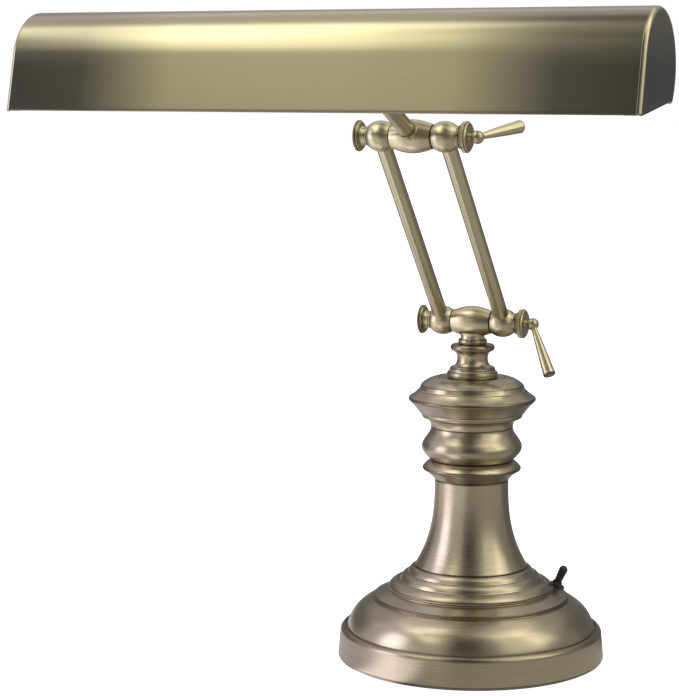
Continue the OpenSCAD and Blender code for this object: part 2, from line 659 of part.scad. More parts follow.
// One end cap, for the +X end: a face with a rounded edge and a flange inside the shell
module shade_cap() slab_place() difference() {
  union() {
    difference() {
      rotate_extrude() polygon(cap_profile());
      linear_extrude(shade_len) open_wedge(tangent_angle, back_angle - 2 * cap_lap);
    }
    rotate(tangent_angle) translate([0, skirt_len, 0]) rotate([90, 0, 0]) linear_extrude(skirt_len)
      polygon(cap_profile());
    // fills the face between the round part and the skirt
    translate([0, 0, shade_len / 2 - shade_wall]) linear_extrude(shade_wall)
      polygon([[0, 4], on_round(far, tangent_angle + 90 - cap_lap), on_round(far, back_angle - cap_lap)]);
  }
  // everything below the line from the skirt's foot to the back edge
  linear_extrude(shade_len) polygon([skirt_foot, on_round(shade_r, back_angle), [far, -back_drop], [far, -far],
    [-far, -far], [-far, skirt_foot[1]]]);
  // room for the shell's hems
  linear_extrude(shell_half) hems(hem_r + seat_gap);
}

module shade_cap_right() color(brass) shade_cap();
module shade_cap_left() color(brass) mirror([1, 0, 0]) shade_cap();

module tube_place() upper_place() along_tube() children();

bracket_y = -6;       // middle of the lamp sockets, behind the round part's centre
socket_gap = 7;       // half the width of the bracket between the sockets

// Distance along the tube at which its axis meets the inside of the round part
tube_off = shade_reach * sin(tube_rise - shade_rise);
tube_wall_at = shade_reach * cos(tube_rise - shade_rise) - sqrt(pow(shade_r, 2) - pow(tube_off, 2));
tube_end = tube_wall_at + 16;

module shade_tube() color(brass) tube_place() difference() {
  translate([0, 0, socket_depth]) cylinder(r = tube_r, h = tube_end - socket_depth);
  cylinder(r = tube_bore_r, h = 2 * tube_end);
}

module shade_cable() color(black) tube_place() translate([0, 0, socket_depth])
  cylinder(r = tube_bore_r - cable_slack, h = tube_end - socket_depth);

// Collar outside the shade, cut to the curve of its back
module shade_saddle() color(brass) difference() {
  tube_place() translate([0, 0, tube_wall_at - 6]) cylinder(r1 = tube_r + 1.6, r2 = tube_r + 3.4, h = 14);
  tube_place() cylinder(r = tube_r + seat_gap, h = 2 * shade_reach);
  slab(-far, far) circle(r = shade_r + 0.02);
}

// Block inside the shade that the tube screws into and the two sockets stand on
module socket_bracket() color(steel) difference() {
  intersection() {
    union() {
      slab(-socket_gap, socket_gap) translate([0, 0]) circle(r = 11);
      tube_place() translate([0, 0, tube_wall_at - 4]) cylinder(r = tube_r + 3, h = 22);
    }
    slab(-socket_gap, socket_gap) circle(r = shade_r - shade_wall - 0.02);
  }
  tube_place() cylinder(r = tube_r + seat_gap, h = tube_end + eps);
  slab(-far, far) circle(r = 2.5);
}

// Lamps lie along the shade's round part
module lamp_axis(side) translate([0, shade_y, shade_z]) rotate([0, 90 * side, 0]) children();
socket_x0 = socket_gap;
base_x0 = socket_x0 + 9;
glass_x0 = socket_x0 + socket_len - 1;
screw_base_r = 13;

module lamp_socket(side) color("#d8d2c4") lamp_axis(side) difference() {
  rotate_extrude() polygon(concat(
    [[0, socket_x0], [9, socket_x0], [9.5, socket_x0 + 3]],
    hollow([9.5, socket_x0 + 3], [socket_r, socket_x0 + 8], 5),
    [[socket_r, socket_x0 + socket_len], [0, socket_x0 + socket_len]]));
  translate([0, 0, base_x0]) cylinder(r = screw_base_r + 0.1, h = socket_len);
  cylinder(r = 2.5, h = base_x0 + 1);
}

module socket_left() lamp_socket(-1);
module socket_right() lamp_socket(1);

// Screw base with its insulated tip, standing on the socket's contact
module bulb_base(side) color("#c9b27a") lamp_axis(side) difference() {
  rotate_extrude() polygon(concat(
    [[0, base_x0], [5, base_x0], [6, base_x0 + 1.5], [screw_base_r - 1.5, base_x0 + 4]],
    [[screw_base_r, base_x0 + 6], [screw_base_r, glass_x0], [0, glass_x0]]));
  translate([0, 0, base_x0 + 8]) cylinder(r = screw_base_r - 1, h = socket_len);
}

module bulb_base_left() bulb_base(-1);
module bulb_base_right() bulb_base(1);

// Tubular bulb: a thin glass tube with a round end and a drawn-in neck
neck_r = screw_base_r - 0.6;
function glass_outline(t) = concat(
  [[neck_r - t, glass_x0], [neck_r - t, glass_x0 + 2]],
  ogee([neck_r - t, glass_x0 + 2], [lamp_r - t, glass_x0 + 12], 8),
  [for (a = [0 : 10 : 90]) [(lamp_r - t) * cos(a), glass_x0 + lamp_len - lamp_r + (lamp_r - t) * sin(a)]]
);

module bulb(side) color("#f4f1e6", 0.8) lamp_axis(side) rotate_extrude() polygon(concat(
  glass_outline(0), [for (p = [len(glass_outline(glass_t)) - 1 : -1 : 0]) glass_outline(glass_t)[p]]));

module bulb_left() bulb(-1);
module bulb_right() bulb(1);

felt_pad();
bottom_plate();
base_weight();
base_shell();
flare_column();
column_disc();
column_bulb();
column_cap();
spool_neck();
lamp_pipe();
pipe_washer();
pipe_nut();
column_cable();
cord_bushing();
switch_body();
switch_nut();
switch_toggle();
lower_barrel();
swivel_screw();
arm_tube_left();
arm_tube_right();
arm_cable();
lower_eye_left();
lower_eye_right();
upper_eye_left();
upper_eye_right();
lower_cap_nut();
upper_cap_nut();
lower_ring();
upper_ring();
lower_clamp_screw();
lower_knurled_collar();
lower_lever();
upper_clamp_screw();
upper_knurled_collar();
upper_lever();
upper_barrel();
shade_tube();
shade_cable();
shade_saddle();
socket_bracket();
socket_left();
socket_right();
bulb_base_left();
bulb_base_right();
bulb_left();
bulb_right();
shade_shell();
shade_cap_left();
shade_cap_right();
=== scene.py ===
"""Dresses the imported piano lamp: turned and brushed brass, knurled collars, lamps and a studio stage."""

import json
import math
from types import SimpleNamespace

import bmesh
import bpy
import numpy as np
from mathutils import Matrix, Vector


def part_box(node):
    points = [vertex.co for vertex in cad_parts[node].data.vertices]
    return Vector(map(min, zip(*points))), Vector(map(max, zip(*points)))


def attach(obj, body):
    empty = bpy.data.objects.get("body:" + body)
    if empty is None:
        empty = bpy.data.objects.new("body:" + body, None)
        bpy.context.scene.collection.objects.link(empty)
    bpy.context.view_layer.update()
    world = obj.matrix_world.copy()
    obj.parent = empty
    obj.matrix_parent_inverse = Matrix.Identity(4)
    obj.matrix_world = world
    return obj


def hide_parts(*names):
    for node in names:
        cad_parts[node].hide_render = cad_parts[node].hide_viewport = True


bl_info = {
    "name": "Piano lamp",
    "version": (1, 0, 0),
    "blender": (4, 5, 0),
    "location": "View3D > Sidebar > Piano lamp",
    "description": "Builds the visible surfaces, finishes and stage of a brass piano lamp",
    "category": "Object",
}

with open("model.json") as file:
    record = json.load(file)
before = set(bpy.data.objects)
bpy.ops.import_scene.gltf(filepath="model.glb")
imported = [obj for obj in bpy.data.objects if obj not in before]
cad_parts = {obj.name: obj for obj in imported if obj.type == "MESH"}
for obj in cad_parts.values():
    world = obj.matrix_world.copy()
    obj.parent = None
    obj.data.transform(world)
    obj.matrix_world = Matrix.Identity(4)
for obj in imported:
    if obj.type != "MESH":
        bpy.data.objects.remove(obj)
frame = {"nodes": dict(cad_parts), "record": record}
MM = 0.001


def low(node):
    """Lowest corner of a CAD node in millimetres."""
    return np.array(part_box(node)[0]) / MM


def high(node):
    """Highest corner of a CAD node in millimetres."""
    return np.array(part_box(node)[1]) / MM


def joint_facts(name):
    """Place of a joint's axis in millimetres, and its direction."""
    joint = [j for j in frame["record"]["behaviour"]["joints"] if j["name"] == name][0]
    return np.array(joint["pos_m"]) / MM, np.array(joint["axis"], float)


# ------ sizes ------


def length(name, default, text):
    """A length for the panel, with its default given in millimetres."""
    return bpy.props.FloatProperty(name=name, description=text, default=float(default) * MM, unit="LENGTH",
                                   min=0.0, precision=5)


def colour(name, default, text):
    """A colour for the panel."""
    return bpy.props.FloatVectorProperty(name=name, description=text, default=default, subtype="COLOR", size=3,
                                         min=0.0, max=1.0)


def sizes(group):
    """A group's values by name, its lengths in millimetres."""
    props = group.bl_rna.properties
    return SimpleNamespace(**{name: getattr(group, name) / (MM if props[name].unit == "LENGTH" else 1)
                              for name in type(group).__annotations__})


class LAMP_PG_column(bpy.types.PropertyGroup):
    base_r: length("Base radius", high("base_shell")[0], "Radius of the rim at its foot")
    rim_z: length("Rim height", 20.0, "Height of the rim's top")
    dome_r: length("Dome radius", high("base_shell")[0] - 5.8, "Radius of the dome where it meets the rim")
    tier_r: length("Tier radius", 62.1, "Radius of the flat tier's edge")
    tier_z: length("Tier height", 40.4, "Height of the flat tier's edge")
    ring_r: length("Step ring radius", 52.5, "Radius of the lowest step ring")
    ring_z: length("Step ring height", 46.3, "Height of the lowest step ring's edge")
    foot_r: length("Column foot radius", high("flare_column")[0], "Radius of the flared column's foot")
    top_r: length("Column top radius", 23.4, "Radius of the flared column's top")
    waist_r: length("Waist radius", 25.9, "Radius of the waists round the bulb ring")
    shoulder_r: length("Shoulder radius", 32.4, "Radius of the cap's raised shoulder")
    edge_soft: length("Edge softness", 0.3, "How far the turned edges are rounded off")


class LAMP_PG_knuckle(bpy.types.PropertyGroup):
    barrel_r: length("Barrel radius", 9.9, "Greatest radius of a knuckle's barrel")
    barrel_end_r: length("Barrel end radius", 7.1, "Radius of a barrel's end faces")
    barrel_half: length("Barrel half length", 12.8, "Half the length of a barrel")
    eye_r: length("Eye radius", 9.1, "Greatest radius of an eye")
    eye_end_x: length("Eye end", high("lower_eye_right")[0], "Outer end of an eye from the middle")
    eye_end_r: length("Eye end radius", 5.7, "Radius of an eye's outer end")
    flange_r: length("Flange radius", 9.2, "Radius of the cap nut and of the knurled collar")
    ball_r: length("Ball radius", 3.9, "Radius of the ball on a clamp screw")
    lever_len: length("Lever length", 35.8, "Length of a lever from the middle of its ball")
    lever_lean: bpy.props.FloatProperty(name="Lever lean", description="Lean from the knuckle's axis",
                                        default=math.radians(64.5), unit="ROTATION")
    teeth: bpy.props.IntProperty(name="Knurl teeth", description="Teeth on a collar", default=44, min=12)


class LAMP_PG_shade(bpy.types.PropertyGroup):
    radius: length("Shade radius", 30.3, "Outer radius of the round back and top")
    wall: length("Sheet", 0.9, "Sheet thickness of the shade")
    skirt_front: length("Skirt reach", 37.0, "How far the skirt's foot lies in front of the centre")
    skirt_drop: length("Skirt drop", 22.8, "How far the skirt's foot lies below the centre")
    back_drop: length("Back drop", 18.4, "How far the back edge lies below the centre")
    hem_r: length("Hem radius", 1.1, "Radius of the rolled hem")
    cap_round: length("End rounding", 2.5, "Rounding of the end caps' edges")


class LAMP_PG_finish(bpy.types.PropertyGroup):
    column: colour("Column brass", (0.49, 0.425, 0.305), "Colour of the toned brass on the base and column")
    small: colour("Knuckle brass", (0.56, 0.50, 0.33), "Colour of the brass on the arms and knuckles")
    sheet: colour("Sheet brass", (0.45, 0.41, 0.265), "Colour of the shade's brushed brass")
    patina: colour("Patina", (0.085, 0.07, 0.045), "Colour of the brass in its grooves")
    # painted shade: this colour darkens the shade's ends, in place of the dark reflections there
    painted_end_shade: colour("Painted end shade", (0.075, 0.072, 0.076), "Colour of the darker toning at the shade's ends")
    black: colour("Black", (0.012, 0.012, 0.013), "Colour of the switch and the cord's bush")
    felt: colour("Felt", (0.02, 0.045, 0.03), "Colour of the felt pad")


# ------ outlines ------


CURVE_POINTS = 24


def joined(*stretches):
    """One outline from stretches laid end to end."""
    return np.concatenate(stretches)


def line(*points):
    """Straight lines through the points given."""
    return np.array(points, float)


def bow(a, b, h, n=CURVE_POINTS):
    """A line from a to b that swells sideways by h at its middle, as a parabola."""
    a, b = np.array(a, float), np.array(b, float)
    t = np.linspace(0, 1, n)[:, None]
    d = b - a
    side = np.array([d[1], -d[0]]) / np.hypot(*d)
    return a + d * t + side * (4 * h * t * (1 - t))


def eased(a, b, across, along):
    """A curve from a to b whose radius and height follow two easing functions of 0 to 1."""
    t = np.linspace(0, 1, CURVE_POINTS)
    return np.stack([a[0] + (b[0] - a[0]) * across(t), a[1] + (b[1] - a[1]) * along(t)], 1)


def ogee(a, b):
    """A double curve that is upright at both ends: half a cosine wave in radius."""
    return eased(a, b, lambda t: (1 - np.cos(np.pi * t)) / 2, lambda t: t)


def swell(a, b):
    """A curve that ends upright: a quarter sine wave in radius."""
    return eased(a, b, lambda t: np.sin(np.pi * t / 2), lambda t: t)


def hollow(a, b):
    """A quarter ellipse that starts upright and ends level."""
    return eased(a, b, lambda t: 1 - np.cos(np.pi * t / 2), lambda t: np.sin(np.pi * t / 2))


def roll(a, b):
    """A quarter ellipse that starts level and ends upright."""
    return eased(a, b, lambda t: np.sin(np.pi * t / 2), lambda t: 1 - np.cos(np.pi * t / 2))


def arc(centre, radius, start, end):
    """Points on a circle from one angle to another, in radians."""
    a = np.linspace(start, end, CURVE_POINTS)
    return np.stack([centre[0] + radius * np.cos(a), centre[1] + radius * np.sin(a)], 1)


def run_of(points):
    """Distance along a line of points, from the first one."""
    return np.append(0, np.cumsum(np.linalg.norm(np.diff(points, axis=0), axis=1)))


def softened(outline, soft, budget, closed=False):
    """Rounds an outline's corners and spaces its points by how much it bends.

    The outline is sampled evenly, each sample becomes a bell-weighted mean of its neighbours along the line,
    and new points are taken at equal steps of length plus turning. Returns the points, the distance along
    the line, and the bend at each point (above 0 on a raised edge, below 0 in a groove)."""
    k, bell_width = 12, 3.2
    length_share, turning_share = 0.6, 2.2

    p = np.concatenate([outline, outline[:1]]) if closed else outline
    p = p[np.append(True, np.hypot(*np.diff(p, axis=0).T) > 1e-6)]
    s = run_of(p)
    count = max(int(s[-1] / (soft / 5)), 40)
    even = np.linspace(0, s[-1], count, endpoint=not closed)
    q = np.stack([np.interp(even, s, p[:, 0]), np.interp(even, s, p[:, 1])], 1)
    bell = np.exp(-0.5 * (np.arange(-k, k + 1) / bell_width) ** 2)
    bell /= bell.sum()
    if closed:
        padded = np.concatenate([q[-k:], q, q[:k]])
    else:
        padded = np.concatenate([2 * q[0] - q[k:0:-1], q, 2 * q[-1] - q[-2:-k - 2:-1]])
    q = np.stack([np.convolve(padded[:, i], bell, "valid") for i in (0, 1)], 1)
    if closed:
        q = np.concatenate([q, q[:1]])
    d = np.gradient(q, axis=0)
    heading = np.unwrap(np.arctan2(d[:, 1], d[:, 0]))
    bend = np.gradient(heading) / np.maximum(np.hypot(*d.T), 1e-9)
    step, turned = np.hypot(*np.diff(q, axis=0).T), np.abs(np.diff(heading))
    measure = np.append(0, np.cumsum(step * length_share + turned * turning_share))
    at = np.arange(len(q))
    take = np.interp(np.linspace(0, measure[-1], budget + 1 if closed else budget), measure, at)
    if closed:
        take = take[:-1]
    points = np.stack([np.interp(take, at, q[:, i]) for i in (0, 1)], 1)
    return points, np.interp(take, at, run_of(q)), np.interp(take, at, bend)


# ------ meshes ------


def show(name, data):
    """A new object at the origin, linked into the scene."""
    thing = bpy.data.objects.new(name, data)
    bpy.context.scene.collection.objects.link(thing)
    return thing


def grid_mesh(name, points, wrap_rows, wrap_cols):
    """A mesh of quads on a grid of points in millimetres, faces outwards, with its quads' grid places."""
    rows, cols = points.shape[:2]
    i = np.arange(rows if wrap_rows else rows - 1)
    j = np.arange(cols if wrap_cols else cols - 1)
    i, j = np.meshgrid(i, j, indexing="ij")
    i2, j2 = (i + 1) % rows, (j + 1) % cols
    quads = np.stack([i * cols + j, i * cols + j2, i2 * cols + j2, i2 * cols + j], -1).reshape(-1, 4)
    v = points.reshape(-1, 3) * MM
    a, b, c, d = (v[quads[:, n]] for n in range(4))
    volume = np.einsum("ij,ij->i", a, np.cross(b, c)).sum() + np.einsum("ij,ij->i", a, np.cross(c, d)).sum()
    corner_rows = np.stack([i, i, i + 1, i + 1], -1).reshape(-1, 4)
    corner_cols = np.stack([j, j + 1, j + 1, j], -1).reshape(-1, 4)
    if volume < 0:
        quads, corner_rows, corner_cols = quads[:, ::-1], corner_rows[:, ::-1], corner_cols[:, ::-1]
    mesh = bpy.data.meshes.new(name)
    mesh.from_pydata(v.tolist(), [], quads.tolist())
    mesh.polygons.foreach_set("use_smooth", np.ones(len(quads), bool))
    return mesh, corner_rows, corner_cols


def keep(mesh, name, kind, field, values):
    """Keeps a value of each vertex as an attribute."""
    mesh.attributes.new(name, kind, "POINT").data.foreach_set(field, values.astype(np.float32).ravel())


def grid_piece(name, body, node, points, across, along, wear, wrap_rows, wrap_cols, finish):
    """Makes a piece from a grid of points in millimetres.

    Rows run along the outline and columns run round or along the brushing. Quads join neighbours, and the
    last row or column joins the first where wrapped. Each vertex keeps its grain coordinates (the brushing
    runs where the third one is constant) and its wear; the UV map has the outline along U."""
    rows, cols = points.shape[:2]
    grain_radius = 0.02
    mesh, corner_rows, corner_cols = grid_mesh(name, points, wrap_rows, wrap_cols)
    uv = mesh.uv_layers.new(name="grain_uv")
    run = np.append(across, 2 * across[-1] - across[-2])
    lay = np.append(along, 2 * along[-1] - along[-2])
    uv.data.foreach_set("uv", np.stack([run[corner_rows], lay[corner_cols]], -1).ravel().astype(np.float32))
    grain = np.zeros((rows, cols, 3))
    grain[..., 2] = across[:, None]
    if wrap_cols:
        turn = 2 * np.pi * np.arange(cols) / cols
        grain[..., 0], grain[..., 1] = grain_radius * np.cos(turn), grain_radius * np.sin(turn)
    else:
        grain[..., 0] = along[None, :]
    keep(mesh, "grain", "FLOAT_VECTOR", "vector", grain)
    keep(mesh, "wear", "FLOAT", "value", np.repeat(wear, cols))
    piece = show(name, mesh)
    close_poles(mesh)
    dress(piece, finish)
    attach(piece, body)
    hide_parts(node)
    return piece


def close_poles(mesh):
    """Merges the doubled vertices where a row has shrunk to a point."""
    bm = bmesh.new()
    bm.from_mesh(mesh)
    bmesh.ops.remove_doubles(bm, verts=bm.verts, dist=1e-7)
    bm.to_mesh(mesh)
    bm.free()
    mesh.validate()


def frame_of(direction, facing=None):
    """Two directions at right angles to the one given, and that one, each of length 1. The first is as near to
    the facing direction as it can be."""
    w = np.array(direction, float)
    w /= np.linalg.norm(w)
    if facing is None:
        facing = (0, 1, 0) if abs(w[1]) < 0.7 else (1, 0, 0)
    u = np.array(facing, float) - np.dot(facing, w) * w
    u /= np.linalg.norm(u)
    return u, np.cross(w, u), w


def turned_piece(name, body, node, outline, finish, origin=(0, 0, 0), axis=(0, 0, 1), soft=0.3, budget=90,
                 segments=144, closed=False, ripple=None, facing=None):
    """A turned piece: the softened outline of radius and height swept once round its axis.

    Each point lies at origin + height * axis + radius * (cos, sin) of its turn. A ripple function may add
    to the radius by turn and outline point."""
    points, run, bend = softened(outline, soft, budget, closed)
    turn = 2 * np.pi * np.arange(segments) / segments
    radius = np.repeat(np.maximum(points[:, :1], 0), segments, 1)
    if ripple is not None:
        radius = radius + ripple(turn, points)
    u, v, w = frame_of(axis, facing)
    place = (np.array(origin, float) + points[:, 1][:, None, None] * w
             + radius[..., None] * (np.cos(turn)[None, :, None] * u + np.sin(turn)[None, :, None] * v))
    rubbed = -0.5 if closed or outline[-1, 1] > outline[0, 1] else 0.5
    middle = float(points[:, 0].mean()) * MM
    wear = np.clip(bend * rubbed, -1, 1)
    return grid_piece(name, body, node, place, run * MM, turn * middle, wear, closed, True, finish)


# ------ materials ------


def dress(piece, finish):
    """Gives a piece one of the finishes by name."""
    piece.data.materials.clear()
    make, *values = FINISHES[finish]
    piece.data.materials.append(make(*values))


def fresh(name):
    """A new node material and its shader, or None where it exists already."""
    if name in bpy.data.materials:
        return bpy.data.materials[name], None
    material = bpy.data.materials.new(name)
    material.use_nodes = True
    return material, material.node_tree.nodes["Principled BSDF"]


def tone(value):
    """The panel's colour of that name, or the colour given."""
    return tuple(getattr(bpy.context.scene.lamp_finish, value)) if isinstance(value, str) else value


def add(tree, kind, **values):
    """Adds a node to a tree and sets the inputs or settings given."""
    node = tree.nodes.new(kind)
    for key, value in values.items():
        if hasattr(node, key):
            setattr(node, key, value)
        else:
            node.inputs[key.replace("_", " ")].default_value = value
    return node


def feed(tree, value, socket):
    """Links a socket to another, or sets it to a number or colour."""
    if hasattr(value, "is_linked"):
        tree.links.new(value, socket)
    else:
        socket.default_value = (*value, 1) if isinstance(value, tuple) and len(value) == 3 else value


def calculate(tree, operation, *values):
    """The result of a math node, from sockets or numbers."""
    node = add(tree, "ShaderNodeMath", operation=operation)
    for n, value in enumerate(values):
        feed(tree, value, node.inputs[n])
    return node.outputs[0]


def blend(tree, factor, a, b):
    """Mixes two colours (sockets or values) by a factor and returns the result's socket."""
    node = add(tree, "ShaderNodeMix", data_type="RGBA")
    for n, value in ((0, factor), (6, a), (7, b)):
        feed(tree, value, node.inputs[n])
    return node.outputs[2]


def spread(tree, value, a, b, c, d):
    """Maps a value from the range a to b onto c to d, clamped."""
    node = add(tree, "ShaderNodeMapRange")
    for n, x in enumerate((value, a, b, c, d)):
        feed(tree, x, node.inputs[n])
    return node.outputs[0]


def noise(tree, vector, scale, size, detail, rough=0.55):
    """Noise on a vector that is first scaled along each of its axes."""
    mapping = add(tree, "ShaderNodeMapping", Scale=scale)
    feed(tree, vector, mapping.inputs["Vector"])
    node = add(tree, "ShaderNodeTexNoise", Scale=size, Detail=detail, Roughness=rough)
    feed(tree, mapping.outputs[0], node.inputs["Vector"])
    return node.outputs["Fac"]


def bump_by(tree, shader, height, strength, distance):
    """Gives a shader a bump from a height's socket, with its distance in metres."""
    bump = add(tree, "ShaderNodeBump", Strength=strength, Distance=distance)
    feed(tree, height, bump.inputs["Height"])
    feed(tree, bump.outputs[0], shader.inputs["Normal"])


def painted_end_shade_share(tree, place, start, full, share, top, bottom):
    """Share of the painted shade at the shade's ends, a darkening that stands in for the dark reflections
    there: it grows along X from start to full, and downwards from top to bottom.
    """
    apart = add(tree, "ShaderNodeSeparateXYZ")
    feed(tree, place, apart.inputs[0])
    outwards = spread(tree, calculate(tree, "ABSOLUTE", apart.outputs["X"]), start, full, 0, share)
    return calculate(tree, "MULTIPLY", outwards, spread(tree, apart.outputs["Z"], top, bottom, 0.4, 1))


def brass_finish(name, brass, gloss, lines, shades, ends=None):
    """Toned brass: brushing lines along the grain, cloudy tone, patina in grooves and rubbed edges.

    The gloss is roughness, anisotropy and bump strength; the lines are the noise's scales across and along the
    grain; the shades are the strengths of streaks and clouds; the ends place the painted shade at the shade's
    ends, in metres, as painted_end_shade_share takes them."""
    material, shader = fresh(name)
    if shader is None:
        return material
    (rough, aniso, depth), (across, along), (streaks, clouds) = gloss, lines, shades
    tree = material.node_tree
    main, patina = tone(brass), tone("patina")
    pale = tuple(min(c * 1.3 + 0.02, 1.0) for c in main)
    deep = tuple(c * 0.68 for c in main)
    shader.inputs["Metallic"].default_value = 1.0
    shader.inputs["Anisotropic"].default_value = aniso
    grain = add(tree, "ShaderNodeAttribute", attribute_name="grain").outputs["Vector"]
    wear = add(tree, "ShaderNodeAttribute", attribute_name="wear").outputs["Fac"]
    place = add(tree, "ShaderNodeTexCoord").outputs["Object"]
    fine = noise(tree, grain, (along, along, across), 1.0, 3.0, 0.6)
    broad = noise(tree, grain, (along * 0.4, along * 0.4, across * 0.16), 1.0, 2.0, 0.5)
    cloud = noise(tree, place, (1, 1, 1), 24.0, 3.0, 0.5)
    colour_now = blend(tree, spread(tree, cloud, 0.35, 0.68, 0, clouds), main, deep)
    colour_now = blend(tree, spread(tree, fine, 0.35, 0.7, 0, streaks), colour_now, deep)
    colour_now = blend(tree, spread(tree, broad, 0.5, 0.75, 0, streaks * 0.8), colour_now, pale)
    # painted shade: where ends are given, the colour darkens towards both ends of the shade and more towards
    # its bottom, standing in for dark reflections
    if ends:
        colour_now = blend(tree, painted_end_shade_share(tree, place, *ends), colour_now, tone("painted_end_shade"))
    colour_now = blend(tree, spread(tree, wear, -0.03, -0.4, 0, 0.82), colour_now, patina)
    colour_now = blend(tree, spread(tree, wear, 0.06, 0.7, 0, 0.75), colour_now, pale)
    feed(tree, colour_now, shader.inputs["Base Color"])
    feed(tree, spread(tree, fine, 0.25, 0.75, rough - 0.025, rough + 0.045), shader.inputs["Roughness"])
    tangent = add(tree, "ShaderNodeTangent", direction_type="UV_MAP", uv_map="grain_uv")
    feed(tree, tangent.outputs[0], shader.inputs["Tangent"])
    bump_by(tree, shader, fine, depth, 0.00004)
    return material


def by_place(name, first, second, rough, metal, size, bump_depth=0.05, extra=("Sheen Weight", 0)):
    """A finish whose two tones, roughness and fine bump follow noise in the piece's own space.

    The extra is one more input of the shader, and its value."""
    material, shader = fresh(name)
    if shader is None:
        return material
    tree = material.node_tree
    for socket, value in (("Metallic", metal), extra):
        shader.inputs[socket].default_value = value
    place = add(tree, "ShaderNodeTexCoord").outputs["Object"]
    cloud = noise(tree, place, (1, 1, 1), size * 0.05, 3.0)
    fine = noise(tree, place, (1, 1, 1), size, 4.0)
    mixed = blend(tree, spread(tree, cloud, 0.35, 0.65, 0, 1), tone(first), second)
    feed(tree, mixed, shader.inputs["Base Color"])
    feed(tree, spread(tree, fine, 0.3, 0.7, rough - 0.05, rough + 0.08), shader.inputs["Roughness"])
    bump_by(tree, shader, fine, bump_depth, 0.0001)
    return material


def felt_finish():
    """Green felt: soft tones with a short fibre bump and sheen."""
    dark = tone("felt")
    return by_place("green_felt", dark, tuple(c * 1.8 for c in dark), 0.9, 0, 2600, 0.6, ("Sheen Weight", 0.4))


FINISHES = {
    # the function that makes each finish, its material's name and the rest that the function takes
    "turned_brass": (brass_finish, "turned_brass", "column", (0.27, 0.35, 0.08), (1900, 20), (0.2, 0.25)),
    # the sheet brass's last entry places the painted shade at the shade's ends
    "sheet_brass": (brass_finish, "sheet_brass", "sheet", (0.22, 0.25, 0.07), (2600, 8), (0.10, 0.1),
                    (0.080, 0.134, 0.88, 0.396, 0.374)),
    "small_brass": (brass_finish, "small_brass", "small", (0.29, 0.2, 0.03), (2600, 30), (0.07, 0.2)),
    "plain_brass": (by_place, "plain_brass", "small", (0.25, 0.21, 0.13), 0.36, 1, 900),
    "steel": (by_place, "plated_steel", (0.55, 0.56, 0.58), (0.42, 0.43, 0.45), 0.3, 1, 1200),
    "iron": (by_place, "cast_iron", (0.05, 0.05, 0.052), (0.08, 0.078, 0.075), 0.6, 0.3, 700, 0.5),
    "black": (by_place, "satin_black", "black", (0.02, 0.02, 0.021), 0.28, 0, 900, 0.03),
    "cable": (by_place, "cable_sheath", (0.015, 0.015, 0.015), (0.03, 0.03, 0.03), 0.5, 0, 900),
    "ceramic": (by_place, "glazed_ceramic", (0.78, 0.75, 0.68), (0.70, 0.66, 0.58), 0.2, 0, 300, 0.02),
    "lamp_brass": (by_place, "lamp_base_brass", (0.70, 0.58, 0.32), (0.60, 0.48, 0.24), 0.3, 1, 900),
    "felt": (felt_finish,),
    "glass": (by_place, "frosted_glass", (0.92, 0.91, 0.87), (0.86, 0.85, 0.80), 0.35, 0, 300, 0.02,
              ("Transmission Weight", 0.25)),
}

SLOT_FINISH = {
    "antique_brass": "plain_brass", "base_iron": "iron", "felt": "felt", "steel": "steel", "cable": "cable",
    "black_plastic": "black", "black_metal": "black", "ceramic": "ceramic", "lamp_brass": "lamp_brass",
    "bulb_glass": "glass",
}


class LAMP_OT_finishes(bpy.types.Operator):
    """Gives every CAD node its finish."""
    bl_idname = "lamp.finishes"
    bl_label = "Finishes"

    def execute(self, context):
        for part in frame["record"]["subparts"]:
            dress(frame["nodes"][part["node"]], SLOT_FINISH[part["material_slot"]])
        return {"FINISHED"}


# ------ base and column ------
# Numbers added to sizes in the outlines are lips, grooves and fillets in millimetres.


def base_outline(c):
    """Rim, dome, tier and step rings of the base, with its inner wall, as one closed line."""
    foot_z = low("flare_column")[2]
    ring_foot = c.ring_z - 2.2
    lobe_2 = np.array([c.ring_r - 6.8, c.ring_z + 4.2])
    lobe_1 = (lobe_2 + (c.foot_r, foot_z)) / 2 + (-0.2, 0.2)
    rim = c.base_r - 1.3
    return joined(
        line((c.base_r - 0.6, 0.8), (c.base_r, 1.8)),
        hollow((rim, c.rim_z - 3), (rim - 3.2, c.rim_z + 0.2)),
        line((c.dome_r + 0.9, c.rim_z + 0.1), (c.dome_r + 0.4, c.rim_z - 0.8), (c.dome_r, c.rim_z - 0.6)),
        bow((c.dome_r, c.rim_z + 0.4), (c.tier_r + 0.3, c.tier_z - 2.1), 3.1, 40),
        line((c.tier_r - 0.5, c.tier_z - 2.2), (c.tier_r - 0.2, c.tier_z - 1.8)),
        line((c.tier_r, c.tier_z - 0.7), (c.tier_r - 0.5, c.tier_z)),
        line((c.ring_r - 0.7, ring_foot), (c.ring_r - 0.1, ring_foot + 0.6)),
        bow((c.ring_r, c.ring_z), lobe_2 + (0.3, 0), 0.8),
        bow(lobe_2 + (-0.5, -0.3), lobe_1 + (0.3, 0), 0.8),
        bow(lobe_1 + (-0.5, -0.3), (c.foot_r + 0.4, foot_z - 0.1), 0.7),
        line((c.foot_r - 0.6, foot_z - 0.3), (6.0, foot_z - 0.3), (6.0, foot_z - 2.5)),
        line((lobe_2[0], c.ring_z - 1), (c.tier_r - 4, c.tier_z - 5), (c.dome_r - 3, c.rim_z - 2)),
        line((c.base_r - 3, 12), (c.base_r - 2, 0.8)),
    )


